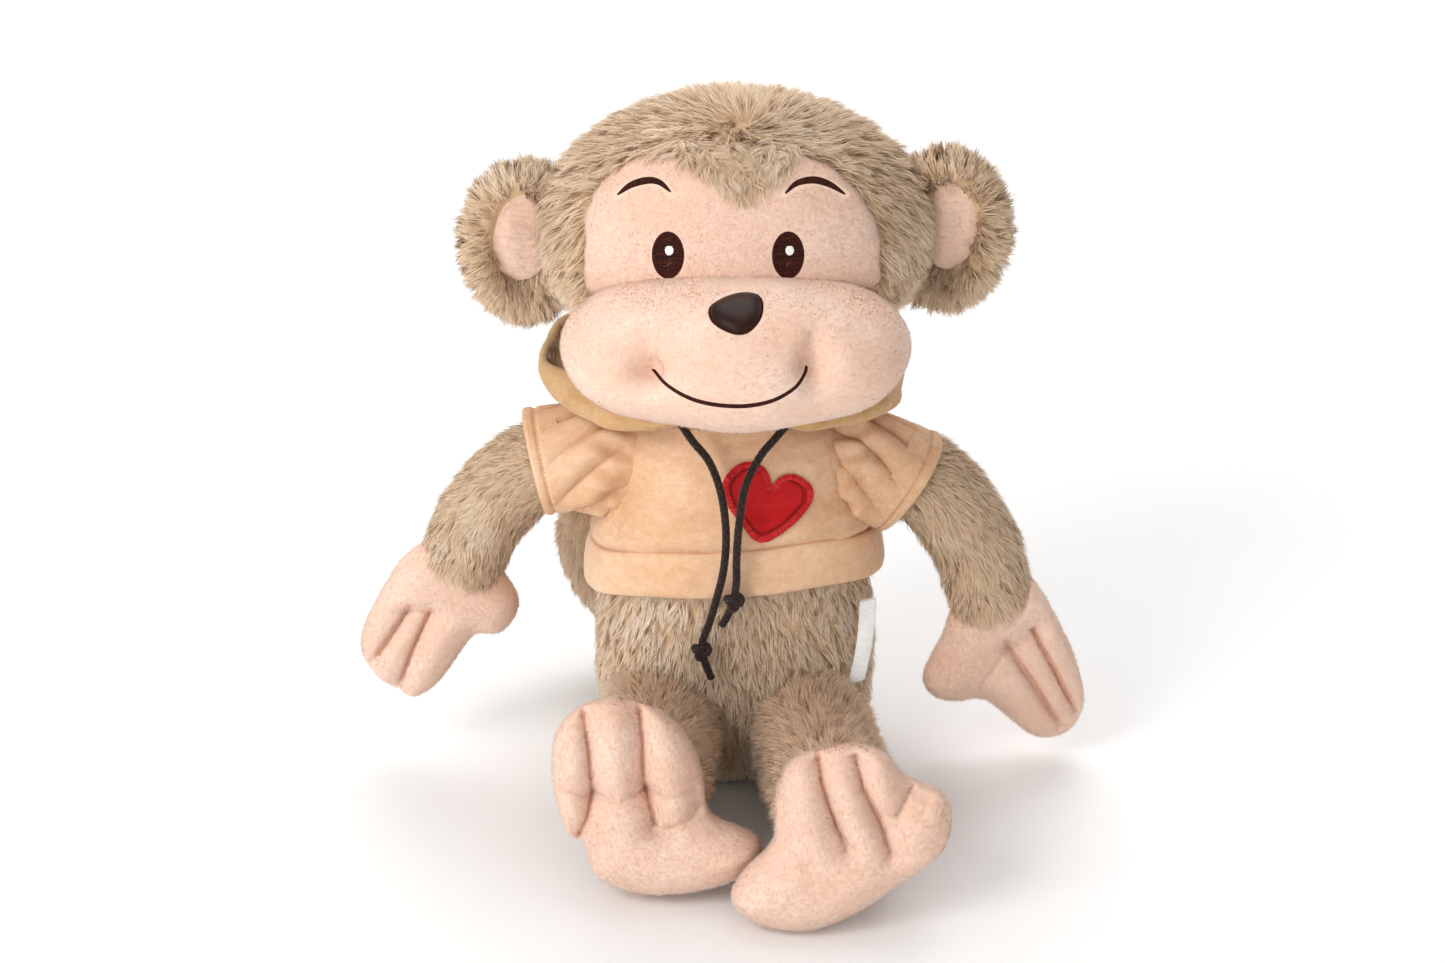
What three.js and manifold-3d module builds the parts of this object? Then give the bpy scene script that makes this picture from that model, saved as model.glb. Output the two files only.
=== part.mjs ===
// Stuffed monkey in a hooded top, seated with its legs forward. Millimetres, +Z up, facing -Y.
// Every fabric skin is a shell open at its seams, and one stuffing core fills each limb, the torso and the head.
import * as THREE from 'three';
import { mergeVertices } from 'three/addons/utils/BufferGeometryUtils.js';
import Module from 'manifold-3d';

const wasm = await Module();
wasm.setup();
const { Manifold, Mesh } = wasm;

// --- driving dimensions ---
const GAP = 0.4; // clearance between neighbouring pieces
const SKIN = 3; // fabric thickness with its pile pressed flat
const FILL_GAP = 1.6; // clearance between a skin's inside and its stuffing
const PATCH = 0.9; // thickness of embroidery and applique
const SOCKET_GAP = 0.6; // clearance around every ball that turns
const BIG = 400; // longer than the whole toy, for cutting blocks

const HEAD = { c: [0, 0, 250], r: [85, 67, 62] };
const MUZZLE = { c: [0, -62, 223], r: [72, 52, 31] };
const NECK = { c: [0, 0, 172], r: 20 };
const NECK_HOLE_R = 30; // opening in the underside of the head skin
const FACE_X = -2; // middle of the face
const EYE = { dx: 24.5, z: 262, rx: 6.2, rz: 9.4, glint: 1.9, glintZ: 264 };
const BROW = { dx: 35.5, z: 284 };
const NOSE = { c: [0, -93, 247.5], rx: 11, rz: 9, ry: 7 };
const EAR = { thick: 13, rx: 27, rz: 36, y: 4, rim: 8, pocket: 4, pad: 2.6 };
const EAR_Z = { left: 241, right: 246 };
const EAR_X = 88;

const TORSO_SECTIONS = [
  // height, half width, half depth
  [0, 46, 38],
  [5, 54, 45],
  [22, 61, 51],
  [48, 63, 53],
  [80, 61, 51],
  [112, 56, 46],
  [140, 47, 38],
  [156, 33, 28],
  [162, 20, 18],
];
const TOP_EASE = 4.5; // how far the hooded top stands off the fur
const TOP_SKIN = 2.2; // thickness of the velour
const HEM_LOW = 95;
const HEM_HIGH = 113;
const HEM_EXTRA = 1.6; // the hem band is folded double
const COLLAR_Z = 159; // where the hooded top ends round the neck

const BALL = { arm: 24, leg: 27 }; // shoulder and hip balls
const ARM_R = 20.5;
const CUFF = { flare: 3, skin: 2.5, room: 1.5 }; // the sleeve widens from the shoulder ball to its hem
const ARM_SWING = [-20, 60]; // degrees back and forward
const LEG_R = 25.5;
const SHOULDER = { left: [-50, 0, 140], right: [48, 0, 138] };
const ARM_PATH = {
  left: [[-50, 0, 140], [-86, -4, 140], [-109, -8, 121], [-120, -10, 94]],
  right: [[48, 0, 138], [82, -4, 134], [104, -8, 108], [113, -10, 75]],
};
const SLEEVE_END = { left: -84, right: 78 };
const HIP = { left: [-30, -22, 33], right: [31, -22, 33] };
const LEG_PATH = {
  left: [[-30, -22, 33], [-33, -60, 33], [-38, -104, 41]],
  right: [[31, -22, 33], [36, -70, 32], [44, -126, 38]],
};
const LEG_SWING = [-6, 30]; // degrees up and down from seated
const TAIL_ROOT = [0, 52, 26];
const TAIL_BALL = 14;

const HEAD_STEPS = [24, 12]; // facets round and up the head
const MUZZLE_STEPS = [22, 10];
const TORSO_STEPS = 18;

// --- helpers ---
function toManifold(geometry) {
  const g = geometry.clone();
  g.deleteAttribute('normal');
  g.deleteAttribute('uv');
  const merged = mergeVertices(g, 1e-3);
  return new Manifold(
    new Mesh({
      numProp: 3,
      vertProperties: new Float32Array(merged.attributes.position.array),
      triVerts: new Uint32Array(merged.index.array),
    }),
  );
}

// A sphere whose points are moved by place(direction), so it stays one closed body.
function bag(segments, rings, place) {
  const g = new THREE.SphereGeometry(1, segments, rings);
  g.rotateX(Math.PI / 2);
  const p = g.attributes.position;
  for (let i = 0; i < p.count; i += 1) {
    const q = place(new THREE.Vector3().fromBufferAttribute(p, i));
    p.setXYZ(i, q.x, q.y, q.z);
  }
  return toManifold(g);
}

function ellipsoid(c, r, grow, segments, rings) {
  return bag(segments, rings, (d) => new THREE.Vector3(
    c[0] + d.x * (r[0] + grow),
    c[1] + d.y * (r[1] + grow),
    c[2] + d.z * (r[2] + grow),
  ));
}

const ball = (c, r, segments = 20, rings = 12) => ellipsoid(c, [r, r, r], 0, segments, rings);

// A closed sausage along a smooth curve, with its radius given for each share of the length.
function sausage(points, radiusAt, segments, rings, flat = 1) {
  const curve = new THREE.CatmullRomCurve3(points.map((q) => new THREE.Vector3(...q)));
  const up = new THREE.Vector3(0, 1, 0);
  return bag(segments, rings, (d) => {
    const polar = Math.acos(THREE.MathUtils.clamp(-d.z, -1, 1)) / Math.PI;
    const turn = Math.atan2(d.y, d.x);
    const t = THREE.MathUtils.clamp((polar - END_SHARE) / (1 - 2 * END_SHARE), 0, 1);
    const along = curve.getTangentAt(t);
    const side = new THREE.Vector3().crossVectors(up, along);
    if (side.lengthSq() < 0.05) side.set(1, 0, 0);
    side.normalize();
    const out = new THREE.Vector3().crossVectors(along, side).normalize();
    const r = radiusAt(t);
    let cap = 0;
    let ring = 1;
    if (polar < END_SHARE) {
      const a = (polar / END_SHARE) * (Math.PI / 2);
      cap = -Math.cos(a);
      ring = Math.sin(a);
    } else if (polar > 1 - END_SHARE) {
      const a = ((1 - polar) / END_SHARE) * (Math.PI / 2);
      cap = Math.cos(a);
      ring = Math.sin(a);
    }
    return curve.getPointAt(t)
      .addScaledVector(along, cap * r)
      .addScaledVector(side, ring * r * Math.cos(turn))
      .addScaledVector(out, ring * r * flat * Math.sin(turn));
  });
}
const END_SHARE = 0.25; // share of the rings that rounds off each end of a sausage

// A cushion whose edge follows a closed outline and whose faces bulge by front and back.
function cushion(outline, frame, front, back, grow, segments, rings) {
  const shape = new THREE.SplineCurve([...outline, outline[0]].map((q) => new THREE.Vector2(...q)));
  const edge = shape.getSpacedPoints(EDGE_SAMPLES).map((q) => [Math.atan2(q.y, q.x), q.length()]);
  edge.sort((a, b) => a[0] - b[0]);
  const reach = (angle) => {
    const last = edge[edge.length - 1];
    let low = [last[0] - 2 * Math.PI, last[1]];
    for (const high of [...edge, [edge[0][0] + 2 * Math.PI, edge[0][1]]]) {
      if (angle <= high[0]) {
        const share = (angle - low[0]) / Math.max(high[0] - low[0], 1e-6);
        return low[1] + share * (high[1] - low[1]);
      }
      low = high;
    }
    return last[1];
  };
  return bag(segments, rings, (d) => {
    const flatLength = Math.hypot(d.x, d.y);
    const r = (reach(Math.atan2(d.y, d.x)) + grow) * Math.min(1, flatLength ** 0.7);
    const a = Math.atan2(d.y, d.x);
    const rise = Math.sign(d.z) * Math.abs(d.z) ** 0.8 * ((d.z > 0 ? front : back) + grow);
    return new THREE.Vector3(r * Math.cos(a), r * Math.sin(a), rise).applyMatrix4(frame);
  });
}
const EDGE_SAMPLES = 72;

// An outline in X and Z, pushed along Y from yBack to yFront.
function prism(shape, yFront, yBack, steps = 6) {
  const g = new THREE.ExtrudeGeometry(shape, {
    depth: yBack - yFront,
    bevelEnabled: false,
    curveSegments: steps,
  });
  g.rotateX(Math.PI / 2);
  g.translate(0, yBack, 0);
  return toManifold(g);
}

function block(x0, x1, y0, y1, z0, z1) {
  const g = new THREE.BoxGeometry(x1 - x0, y1 - y0, z1 - z0);
  g.translate((x0 + x1) / 2, (y0 + y1) / 2, (z0 + z1) / 2);
  return toManifold(g);
}

function ellipseShape(x, z, rx, rz) {
  const s = new THREE.Shape();
  s.absellipse(x, z, rx, rz, 0, 2 * Math.PI);
  return s;
}

function turned(solid, pivot, axis, degrees) {
  const m = new THREE.Matrix4().makeTranslation(...pivot);
  m.multiply(new THREE.Matrix4().makeRotationAxis(axis, THREE.MathUtils.degToRad(degrees)));
  m.multiply(new THREE.Matrix4().makeTranslation(-pivot[0], -pivot[1], -pivot[2]));
  return solid.transform(m.elements);
}

const group = new THREE.Group();
group.name = 'stuffed_monkey';

function add(name, solid, colour, roughness = 0.95) {
  const parts = solid.decompose().filter((p) => p.volume() > MIN_BODY);
  parts.sort((a, b) => b.volume() - a.volume());
  const m = parts[0].simplify(SIMPLIFY).getMesh();
  const g = new THREE.BufferGeometry();
  g.setAttribute('position', new THREE.BufferAttribute(new Float32Array(m.vertProperties), 3));
  g.setIndex(new THREE.BufferAttribute(new Uint32Array(m.triVerts), 1));
  g.computeVertexNormals();
  const mesh = new THREE.Mesh(g, new THREE.MeshStandardMaterial({ color: colour, roughness, metalness: 0 }));
  mesh.name = name;
  group.add(mesh);
  return parts[0];
}
const MIN_BODY = 0.5; // cubic mm: smaller crumbs left by a cut are dropped
const SIMPLIFY = 0.1; // mm a face may move when slivers left by the cuts are merged

const FUR = 0xcdb28c;
const MINKY = 0xf6d2bb;
const VELOUR = 0xdfb184;
const FLOSS = 0x3a1a10;
const CORD = 0x2b1510;
const STUFFING = 0xf4f2ec;
const RED = 0xc01515;
const RIBBON = 0xf3f3f0;

// --- head ---
const headOut = ellipsoid(HEAD.c, HEAD.r, 0, ...HEAD_STEPS);
const headIn = ellipsoid(HEAD.c, HEAD.r, -SKIN, ...HEAD_STEPS);
const muzzleOut = ellipsoid(MUZZLE.c, MUZZLE.r, 0, ...MUZZLE_STEPS);
const muzzleIn = ellipsoid(MUZZLE.c, MUZZLE.r, -SKIN, ...MUZZLE_STEPS);
const neckSocket = ball(NECK.c, NECK.r + SOCKET_GAP + 1, 14, 8);
const headShell = headOut.subtract(headIn).subtract(muzzleIn);

function maskShape(grow) {
  const s = new THREE.Shape();
  s.moveTo(FACE_X - 54 - grow, 232);
  s.quadraticCurveTo(FACE_X - 66 - grow, 256, FACE_X - 62 - grow, 272);
  s.quadraticCurveTo(FACE_X - 54 - grow, 297 + grow, FACE_X - 30, 297 + grow);
  s.quadraticCurveTo(FACE_X - 10, 296 + grow, FACE_X + 3, 283 + grow);
  s.quadraticCurveTo(FACE_X + 14, 296 + grow, FACE_X + 30, 297 + grow);
  s.quadraticCurveTo(FACE_X + 54 + grow, 297 + grow, FACE_X + 62 + grow, 272);
  s.quadraticCurveTo(FACE_X + 66 + grow, 256, FACE_X + 54 + grow, 232);
  return s;
}
const MASK_BACK = -14; // the mask wraps the front of the head only
const neckHole = new THREE.CylinderGeometry(NECK_HOLE_R, NECK_HOLE_R, 60, 20);
neckHole.rotateX(Math.PI / 2);
neckHole.translate(0, 0, NECK.c[2]);
add('head_fur', headShell
  .subtract(prism(maskShape(GAP), -BIG, MASK_BACK + GAP))
  .subtract(toManifold(neckHole)), FUR);
add('face_mask', headShell.intersect(prism(maskShape(0), -BIG, MASK_BACK)), MINKY);
add('muzzle', muzzleOut.subtract(muzzleIn).subtract(ellipsoid(HEAD.c, HEAD.r, GAP, ...HEAD_STEPS)), MINKY);
add('head_stuffing', ellipsoid(HEAD.c, HEAD.r, -SKIN - FILL_GAP, 16, 10)
  .add(ellipsoid(MUZZLE.c, MUZZLE.r, -SKIN - FILL_GAP, 14, 8))
  .subtract(neckSocket), STUFFING);
add('neck_stuffing', ball(NECK.c, NECK.r, 14, 8), STUFFING);

// Embroidery follows the surface below it: a thin layer of the swollen head or muzzle, cut to an outline.
function layer(part, low, high, segments, rings) {
  return ellipsoid(part.c, part.r, high, segments, rings)
    .subtract(ellipsoid(part.c, part.r, low, segments, rings));
}
const headLayer = layer(HEAD, GAP, GAP + PATCH, ...HEAD_STEPS);
const muzzleLayer = layer(MUZZLE, GAP, GAP + PATCH, ...MUZZLE_STEPS);
const EMBROIDERY_BACK = -30;

function browShape(x, flip) {
  const s = new THREE.Shape();
  s.moveTo(x - 11 * flip, BROW.z);
  s.quadraticCurveTo(x + 1 * flip, BROW.z + 10.5, x + 10.5 * flip, BROW.z + 2);
  s.quadraticCurveTo(x + 2 * flip, BROW.z + 6.4, x - 11 * flip, BROW.z);
  return s;
}
for (const [side, sign] of [['left', -1], ['right', 1]]) {
  const x = FACE_X + sign * EYE.dx;
  const glint = prism(ellipseShape(x + 0.6, EYE.glintZ, EYE.glint, EYE.glint), -BIG, EMBROIDERY_BACK, 8);
  const glintHole = prism(
    ellipseShape(x + 0.6, EYE.glintZ, EYE.glint + GAP, EYE.glint + GAP), -BIG, EMBROIDERY_BACK, 8);
  const eye = prism(ellipseShape(x, EYE.z, EYE.rx, EYE.rz), -BIG, EMBROIDERY_BACK, 20);
  add(`eye_${side}`, headLayer.intersect(eye).subtract(glintHole), FLOSS, 0.6);
  add(`eye_highlight_${side}`, headLayer.intersect(glint), 0xffffff, 0.6);
  add(`eyebrow_${side}`, headLayer.intersect(
    prism(browShape(FACE_X + sign * BROW.dx, -sign), -BIG, EMBROIDERY_BACK, 6)), FLOSS, 0.6);
}

function mouthShape() {
  const s = new THREE.Shape();
  s.moveTo(-33, 226);
  s.quadraticCurveTo(-2, 200, 31, 228);
  s.lineTo(29.6, 228.8);
  s.quadraticCurveTo(-2, 203.2, -31.8, 227);
  return s;
}
add('mouth_stitching', muzzleLayer.intersect(prism(mouthShape(), -BIG, -70, 12)), FLOSS, 0.6);

const noseBag = bag(16, 10, (d) => {
  const widen = 1 + 0.28 * d.z;
  return new THREE.Vector3(
    NOSE.c[0] + d.x * NOSE.rx * widen,
    NOSE.c[1] + d.y * NOSE.ry,
    NOSE.c[2] + d.z * NOSE.rz,
  );
});
add('nose', noseBag.subtract(ellipsoid(MUZZLE.c, MUZZLE.r, GAP, ...MUZZLE_STEPS)), FLOSS, 0.35);

const EAR_CLEAR = 1.6; // room for the ear to fold against the head
for (const [side, sign] of [['left', -1], ['right', 1]]) {
  const x = sign * EAR_X;
  const z = EAR_Z[side];
  const half = EAR.thick / 2;
  const disc = cushion(
    [[EAR.rx, 0], [EAR.rx * 0.7, EAR.rz * 0.72], [0, EAR.rz], [-EAR.rx * 0.7, EAR.rz * 0.72],
      [-EAR.rx, 0], [-EAR.rx * 0.7, -EAR.rz * 0.72], [0, -EAR.rz], [EAR.rx * 0.7, -EAR.rz * 0.72]],
    new THREE.Matrix4().makeTranslation(x, EAR.y, z).multiply(new THREE.Matrix4().makeRotationX(Math.PI / 2)),
    half, half, 0, 20, 10);
  const padShape = (grow) => ellipseShape(
    x + sign * 1.5, z, EAR.rx - EAR.rim + grow, EAR.rz - EAR.rim - 2 + grow);
  const floor = EAR.y - half + EAR.pocket;
  const headRoom = ellipsoid(HEAD.c, HEAD.r, EAR_CLEAR, ...HEAD_STEPS);
  add(`ear_${side}`, disc.subtract(headRoom).subtract(prism(padShape(GAP), -BIG, floor)), FUR);
  add(`ear_lining_${side}`,
    prism(padShape(0), floor - GAP - EAR.pad, floor - GAP).subtract(headRoom), MINKY);
}

// --- torso and hooded top ---
function torso(grow, segments, low = 0) {
  const last = TORSO_SECTIONS.length - 1;
  const curve = (column) => new THREE.SplineCurve(
    TORSO_SECTIONS.map((row) => new THREE.Vector2(row[0], row[column])));
  const wide = curve(1);
  const deep = curve(2);
  return bag(segments, 13, (d) => {
    const share = THREE.MathUtils.clamp((Math.acos(-d.z) / Math.PI) * 1.14 - 0.07, 0, 1);
    const w = wide.getPoint(share);
    const v = deep.getPoint(share);
    const ring = Math.hypot(d.x, d.y);
    const shut = Math.min(1, ring / Math.sin(0.07 / 1.14 * Math.PI * 0.999));
    const a = Math.atan2(d.y, d.x);
    const lift = low + w.x * ((TORSO_SECTIONS[last][0] + grow - low) / TORSO_SECTIONS[last][0]);
    return new THREE.Vector3(
      shut * (w.y + grow) * Math.cos(a),
      shut * (v.y + grow) * Math.sin(a),
      lift,
    );
  });
}
const BELOW = -6; // the hooded top's full outline runs past the seat before it is cut
const torsoOut = torso(0, TORSO_STEPS, 0);
const torsoIn = torso(-SKIN, TORSO_STEPS, SKIN);
const torsoCore = torso(-SKIN - FILL_GAP, 16, SKIN + FILL_GAP);
const topIn = torso(TOP_EASE - TOP_SKIN, TORSO_STEPS, BELOW);
const topOut = torso(TOP_EASE, TORSO_STEPS, BELOW);

const limbs = { left: {}, right: {} };
const X_AXIS = new THREE.Vector3(1, 0, 0);
for (const side of ['left', 'right']) {
  const armR = (t) => ARM_R - 4 * t * t;
  const legR = (t) => LEG_R - 2 * t;
  const grown = (f, by) => (t) => f(t) + by;
  const path = ARM_PATH[side];
  limbs[side].armOut = sausage(path, armR, 14, 12);
  limbs[side].armIn = sausage(path, grown(armR, -SKIN), 14, 12);
  limbs[side].armCore = sausage(path, grown(armR, -SKIN - FILL_GAP), 10, 12);
  const cuffR = (t) => BALL.arm + CUFF.flare * t;
  limbs[side].cuffOut = sausage(path.slice(0, 3), cuffR, 14, 10);
  limbs[side].cuffRoom = sausage(path.slice(0, 3), grown(cuffR, CUFF.room), 14, 10);
  limbs[side].cuffIn = sausage(path.slice(0, 3), grown(cuffR, -CUFF.skin), 14, 10);
  limbs[side].legOut = sausage(LEG_PATH[side], legR, 14, 12);
  limbs[side].legIn = sausage(LEG_PATH[side], grown(legR, -SKIN), 14, 12);
  limbs[side].legCore = sausage(LEG_PATH[side], grown(legR, -SKIN - FILL_GAP), 10, 12);
}
// Rooms are cut with few facets, so their radius is larger by what a facet cuts off.
const ROOM_STEPS = [10, 6];
const ROOM_EXTRA = 2.6;
let legSockets = ball(HIP.left, BALL.leg + ROOM_EXTRA, ...ROOM_STEPS)
  .add(ball(HIP.right, BALL.leg + ROOM_EXTRA, ...ROOM_STEPS));
for (const side of ['left', 'right']) {
  const room = sausage(LEG_PATH[side].slice(0, 2), () => LEG_R + ROOM_EXTRA, 10, 6);
  for (const degrees of [LEG_SWING[0], 0, LEG_SWING[1]]) {
    legSockets = legSockets.add(turned(room, HIP[side], X_AXIS, degrees));
  }
}

const cuffRoom = ball(SHOULDER.left, BALL.arm + ROOM_EXTRA, ...ROOM_STEPS).add(ball(SHOULDER.right, BALL.arm + ROOM_EXTRA, ...ROOM_STEPS))
  .add(limbs.left.cuffRoom).add(limbs.right.cuffRoom);
const tailBall = ball(TAIL_ROOT, TAIL_BALL + ROOM_EXTRA, 10, 6);
const sockets = cuffRoom.add(legSockets).add(tailBall).add(neckSocket);
add('torso_fur', torsoOut.subtract(torsoIn).subtract(sockets), FUR);
add('torso_stuffing', torsoCore.subtract(sockets), STUFFING);

const topShell = topOut.subtract(topIn);
const aboveHem = block(-BIG, BIG, -BIG, BIG, HEM_HIGH + GAP, COLLAR_Z);
const hemRing = block(-BIG, BIG, -BIG, BIG, HEM_LOW, HEM_HIGH);
add('hoodie_body', topShell.intersect(aboveHem).subtract(cuffRoom), VELOUR);
add('hoodie_hem_band', torso(TOP_EASE + HEM_EXTRA, TORSO_STEPS, BELOW).subtract(topIn)
  .intersect(hemRing).subtract(cuffRoom), VELOUR);

// --- arms, sleeves and hands ---
const HAND_SHAPE = {
  // outline from the palm's middle: wrist, thumb side, finger tips, outer side
  left: [[-20, 26], [20, 26], [30, 8], [34, -8], [22, -12], [10, -26], [-6, -40], [-22, -36], [-30, -18]],
};
const HAND_HALF = 12.5; // half the thickness of a palm
function handFrame(side) {
  const sign = side === 'left' ? 1 : -1;
  const c = side === 'left' ? [-133, -13, 72] : [124, -13, 52];
  const m = new THREE.Matrix4().makeTranslation(...c);
  m.multiply(new THREE.Matrix4().makeRotationY(sign * 0.24));
  m.multiply(new THREE.Matrix4().makeRotationX(Math.PI / 2));
  return m;
}
for (const side of ['left', 'right']) {
  const sign = side === 'left' ? -1 : 1;
  const { armOut, armIn, armCore, cuffOut } = limbs[side];
  const path = ARM_PATH[side];
  const outward = sign < 0
    ? block(-BIG, SHOULDER.left[0] - 1, -BIG, BIG, -BIG, BIG)
    : block(SHOULDER.right[0] + 1, BIG, -BIG, BIG, -BIG, BIG);
  const sleeveSide = sign < 0
    ? block(SLEEVE_END.left, SHOULDER.left[0] - 1, -BIG, BIG, -BIG, BIG)
    : block(SHOULDER.right[0] + 1, SLEEVE_END.right, -BIG, BIG, -BIG, BIG);
  const wrist = path[path.length - 1];
  const belowWrist = block(wrist[0] - 60, wrist[0] + 60, -80, 80, -BIG, wrist[2]);
  const wristBlock = block(wrist[0] - 60, wrist[0] + 60, -80, 80, wrist[2] - GAP, BIG);
  const outline = HAND_SHAPE.left.map(([u, v]) => [-sign * u, v]);
  const handOut = cushion(outline, handFrame(side), HAND_HALF, HAND_HALF, 0, 22, 8);
  const handIn = cushion(outline, handFrame(side), HAND_HALF, HAND_HALF, -SKIN, 22, 8);
  const handCore = cushion(outline, handFrame(side), HAND_HALF, HAND_HALF, -SKIN - FILL_GAP, 22, 8);
  add(`arm_fur_${side}`, armOut.subtract(armIn).intersect(outward).subtract(belowWrist), FUR);
  add(`hand_${side}`, handOut.subtract(handIn).subtract(wristBlock), MINKY);
  add(`arm_stuffing_${side}`, armCore.subtract(belowWrist.translate([0, 0, 6]))
    .add(handCore.subtract(wristBlock.translate([0, 0, 7]))), STUFFING);
  add(`sleeve_${side}`, cuffOut.subtract(limbs[side].cuffIn).intersect(sleeveSide), VELOUR);
}

// --- hood: a fallen roll round the back and sides of the neck ---
const HOOD_R = 10.5;
const HOOD_PATH = [
  [-17, -39, 165], [-45, -33, 170], [-67, -4, 174], [-62, 34, 174], [-32, 54, 173],
  [0, 59, 172],
  [32, 54, 173], [61, 34, 174], [65, -4, 174], [45, -33, 170], [17, -39, 165],
];
const hood = sausage(HOOD_PATH, (t) => HOOD_R - 3 * Math.abs(2 * t - 1) ** 3, 10, 22, 0.75);
let hoodRoom = torso(TOP_EASE + GAP, TORSO_STEPS, BELOW).add(cuffRoom);
for (const side of ['left', 'right']) {
  for (const degrees of ARM_SWING) {
    hoodRoom = hoodRoom.add(turned(limbs[side].cuffRoom, SHOULDER[side], X_AXIS, -degrees));
  }
}
add('hood', hood.subtract(hoodRoom), VELOUR);

// --- heart, label ---
function heartShape() {
  const s = new THREE.Shape();
  s.moveTo(11, 129);
  s.quadraticCurveTo(-3, 141, -3.5, 151);
  s.quadraticCurveTo(-3, 161, 5, 160.5);
  s.quadraticCurveTo(11, 159, 13.5, 152);
  s.quadraticCurveTo(19, 158, 26, 156);
  s.quadraticCurveTo(32, 153, 29.5, 146);
  s.quadraticCurveTo(25, 136, 11, 129);
  return s;
}
const chestLayer = torso(TOP_EASE + GAP + PATCH, TORSO_STEPS, BELOW).subtract(torso(TOP_EASE + GAP, TORSO_STEPS, BELOW));
add('heart_patch', chestLayer.intersect(prism(heartShape(), -BIG, -10, 5)), RED, 0.55);

const LABEL = { x: 55, y: -20, top: 86, drop: 36, out: 12.5, thick: 1.6, lean: 0.12 };
const label = new THREE.BoxGeometry(LABEL.out, LABEL.thick, LABEL.drop);
label.rotateY(LABEL.lean);
label.translate(LABEL.x + LABEL.out / 2, LABEL.y, LABEL.top - LABEL.drop / 2);
add('side_label', toManifold(label).subtract(torso(GAP, TORSO_STEPS, 0)), RIBBON, 0.7);

// --- legs and feet ---
const FOOT_SHAPE = {
  // outline from the sole's middle: three toes up, heel down, big toe pointing inward
  left: [[-12, 45], [8, 44], [22, 36], [28, 14], [34, -8], [46, -18], [40, -28], [22, -36], [2, -42],
    [-16, -38], [-28, -24], [-30, -4], [-33, 14], [-34, 32], [-24, 42]],
};
const FOOT_STEPS = [22, 8];
const FOOT = { front: 12, back: 22 }; // thickness of the sole's side and of the instep's side
function footFrame(side) {
  const left = side === 'left';
  const m = new THREE.Matrix4().makeTranslation(...(left ? [-42, -124, 40.5] : [44, -146, 41.2]));
  m.multiply(new THREE.Matrix4().makeRotationY(left ? 0 : 0.2));
  m.multiply(new THREE.Matrix4().makeRotationX(Math.PI / 2));
  return m;
}
for (const side of ['left', 'right']) {
  const sign = side === 'left' ? 1 : -1;
  const outline = FOOT_SHAPE.left.map(([u, v]) => [sign * u, v]);
  const above = block(-BIG, BIG, -BIG, BIG, 0, BIG);
  const footOut = cushion(outline, footFrame(side), FOOT.front, FOOT.back, 0, ...FOOT_STEPS).intersect(above);
  const footIn = cushion(outline, footFrame(side), FOOT.front, FOOT.back, -SKIN, ...FOOT_STEPS)
    .intersect(above.translate([0, 0, SKIN]));
  const footCore = cushion(outline, footFrame(side), FOOT.front, FOOT.back, -SKIN - FILL_GAP, ...FOOT_STEPS)
    .intersect(above.translate([0, 0, SKIN + FILL_GAP]));
  const footRoom = cushion(outline, footFrame(side), FOOT.front, FOOT.back, GAP, ...FOOT_STEPS);
  const { legOut, legIn, legCore } = limbs[side];
  const forward = block(-BIG, BIG, -BIG, HIP[side][1] - 1, -BIG, BIG);
  add(`leg_fur_${side}`, legOut.subtract(legIn).intersect(forward).subtract(footRoom), FUR);
  add(`foot_${side}`, footOut.subtract(footIn).subtract(legIn), MINKY);
  add(`leg_stuffing_${side}`, legCore.add(footCore), STUFFING);
}

// --- tail: round the left of the back, tip up ---
const TAIL_PATH = [TAIL_ROOT, [-34, 67, 28], [-60, 66, 46], [-69, 58, 74], [-66, 48, 98]];
const tailR = (t) => 13 - 1.5 * t;
const tailOut = sausage(TAIL_PATH, tailR, 10, 14);
const tailIn = sausage(TAIL_PATH, (t) => tailR(t) - SKIN, 10, 14);
const tailCore = sausage(TAIL_PATH, (t) => tailR(t) - SKIN - FILL_GAP, 8, 14);
const behind = block(-BIG, TAIL_ROOT[0] - 4, -BIG, BIG, -BIG, BIG);
const torsoRoom = torso(SOCKET_GAP, TORSO_STEPS, 0).subtract(ball(TAIL_ROOT, 14));
add('tail_fur', tailOut.subtract(tailIn).intersect(behind).subtract(torsoRoom), FUR);
add('tail_stuffing', tailCore.subtract(torsoRoom), STUFFING);

// --- drawstrings: round cord, a knot and a cut tail each ---
const CORD_D = 3.4;
const CORD_SIDES = 8;
const KNOT_R = 4.3;
const CORD_ROUTE = {
  left: [[-23, -46.5, 172], [-11, -49, 163], [-6, -54, 150], [-4, -58.5, 134], [-5, -60.6, 118],
    [-8, -60.5, 104], [-11, -58.8, 92], [-14, -58.2, 82.5]],
  right: [[23, -46.5, 172], [10, -49, 165], [4, -54, 153], [1.5, -59.3, 138], [0.5, -61.6, 124],
    [0.5, -61.8, 114], [0, -61.4, 108]],
};
const KNOT = { left: [-14.6, -58.6, 77.6], right: [-0.6, -61.6, 103] };
const TAIL_END = { left: [[-13.2, -58.6, 72.6], [-10.4, -58.8, 64.5]], right: [[-2.4, -61.6, 98.2], [-5.6, -61, 91.5]] };

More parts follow.
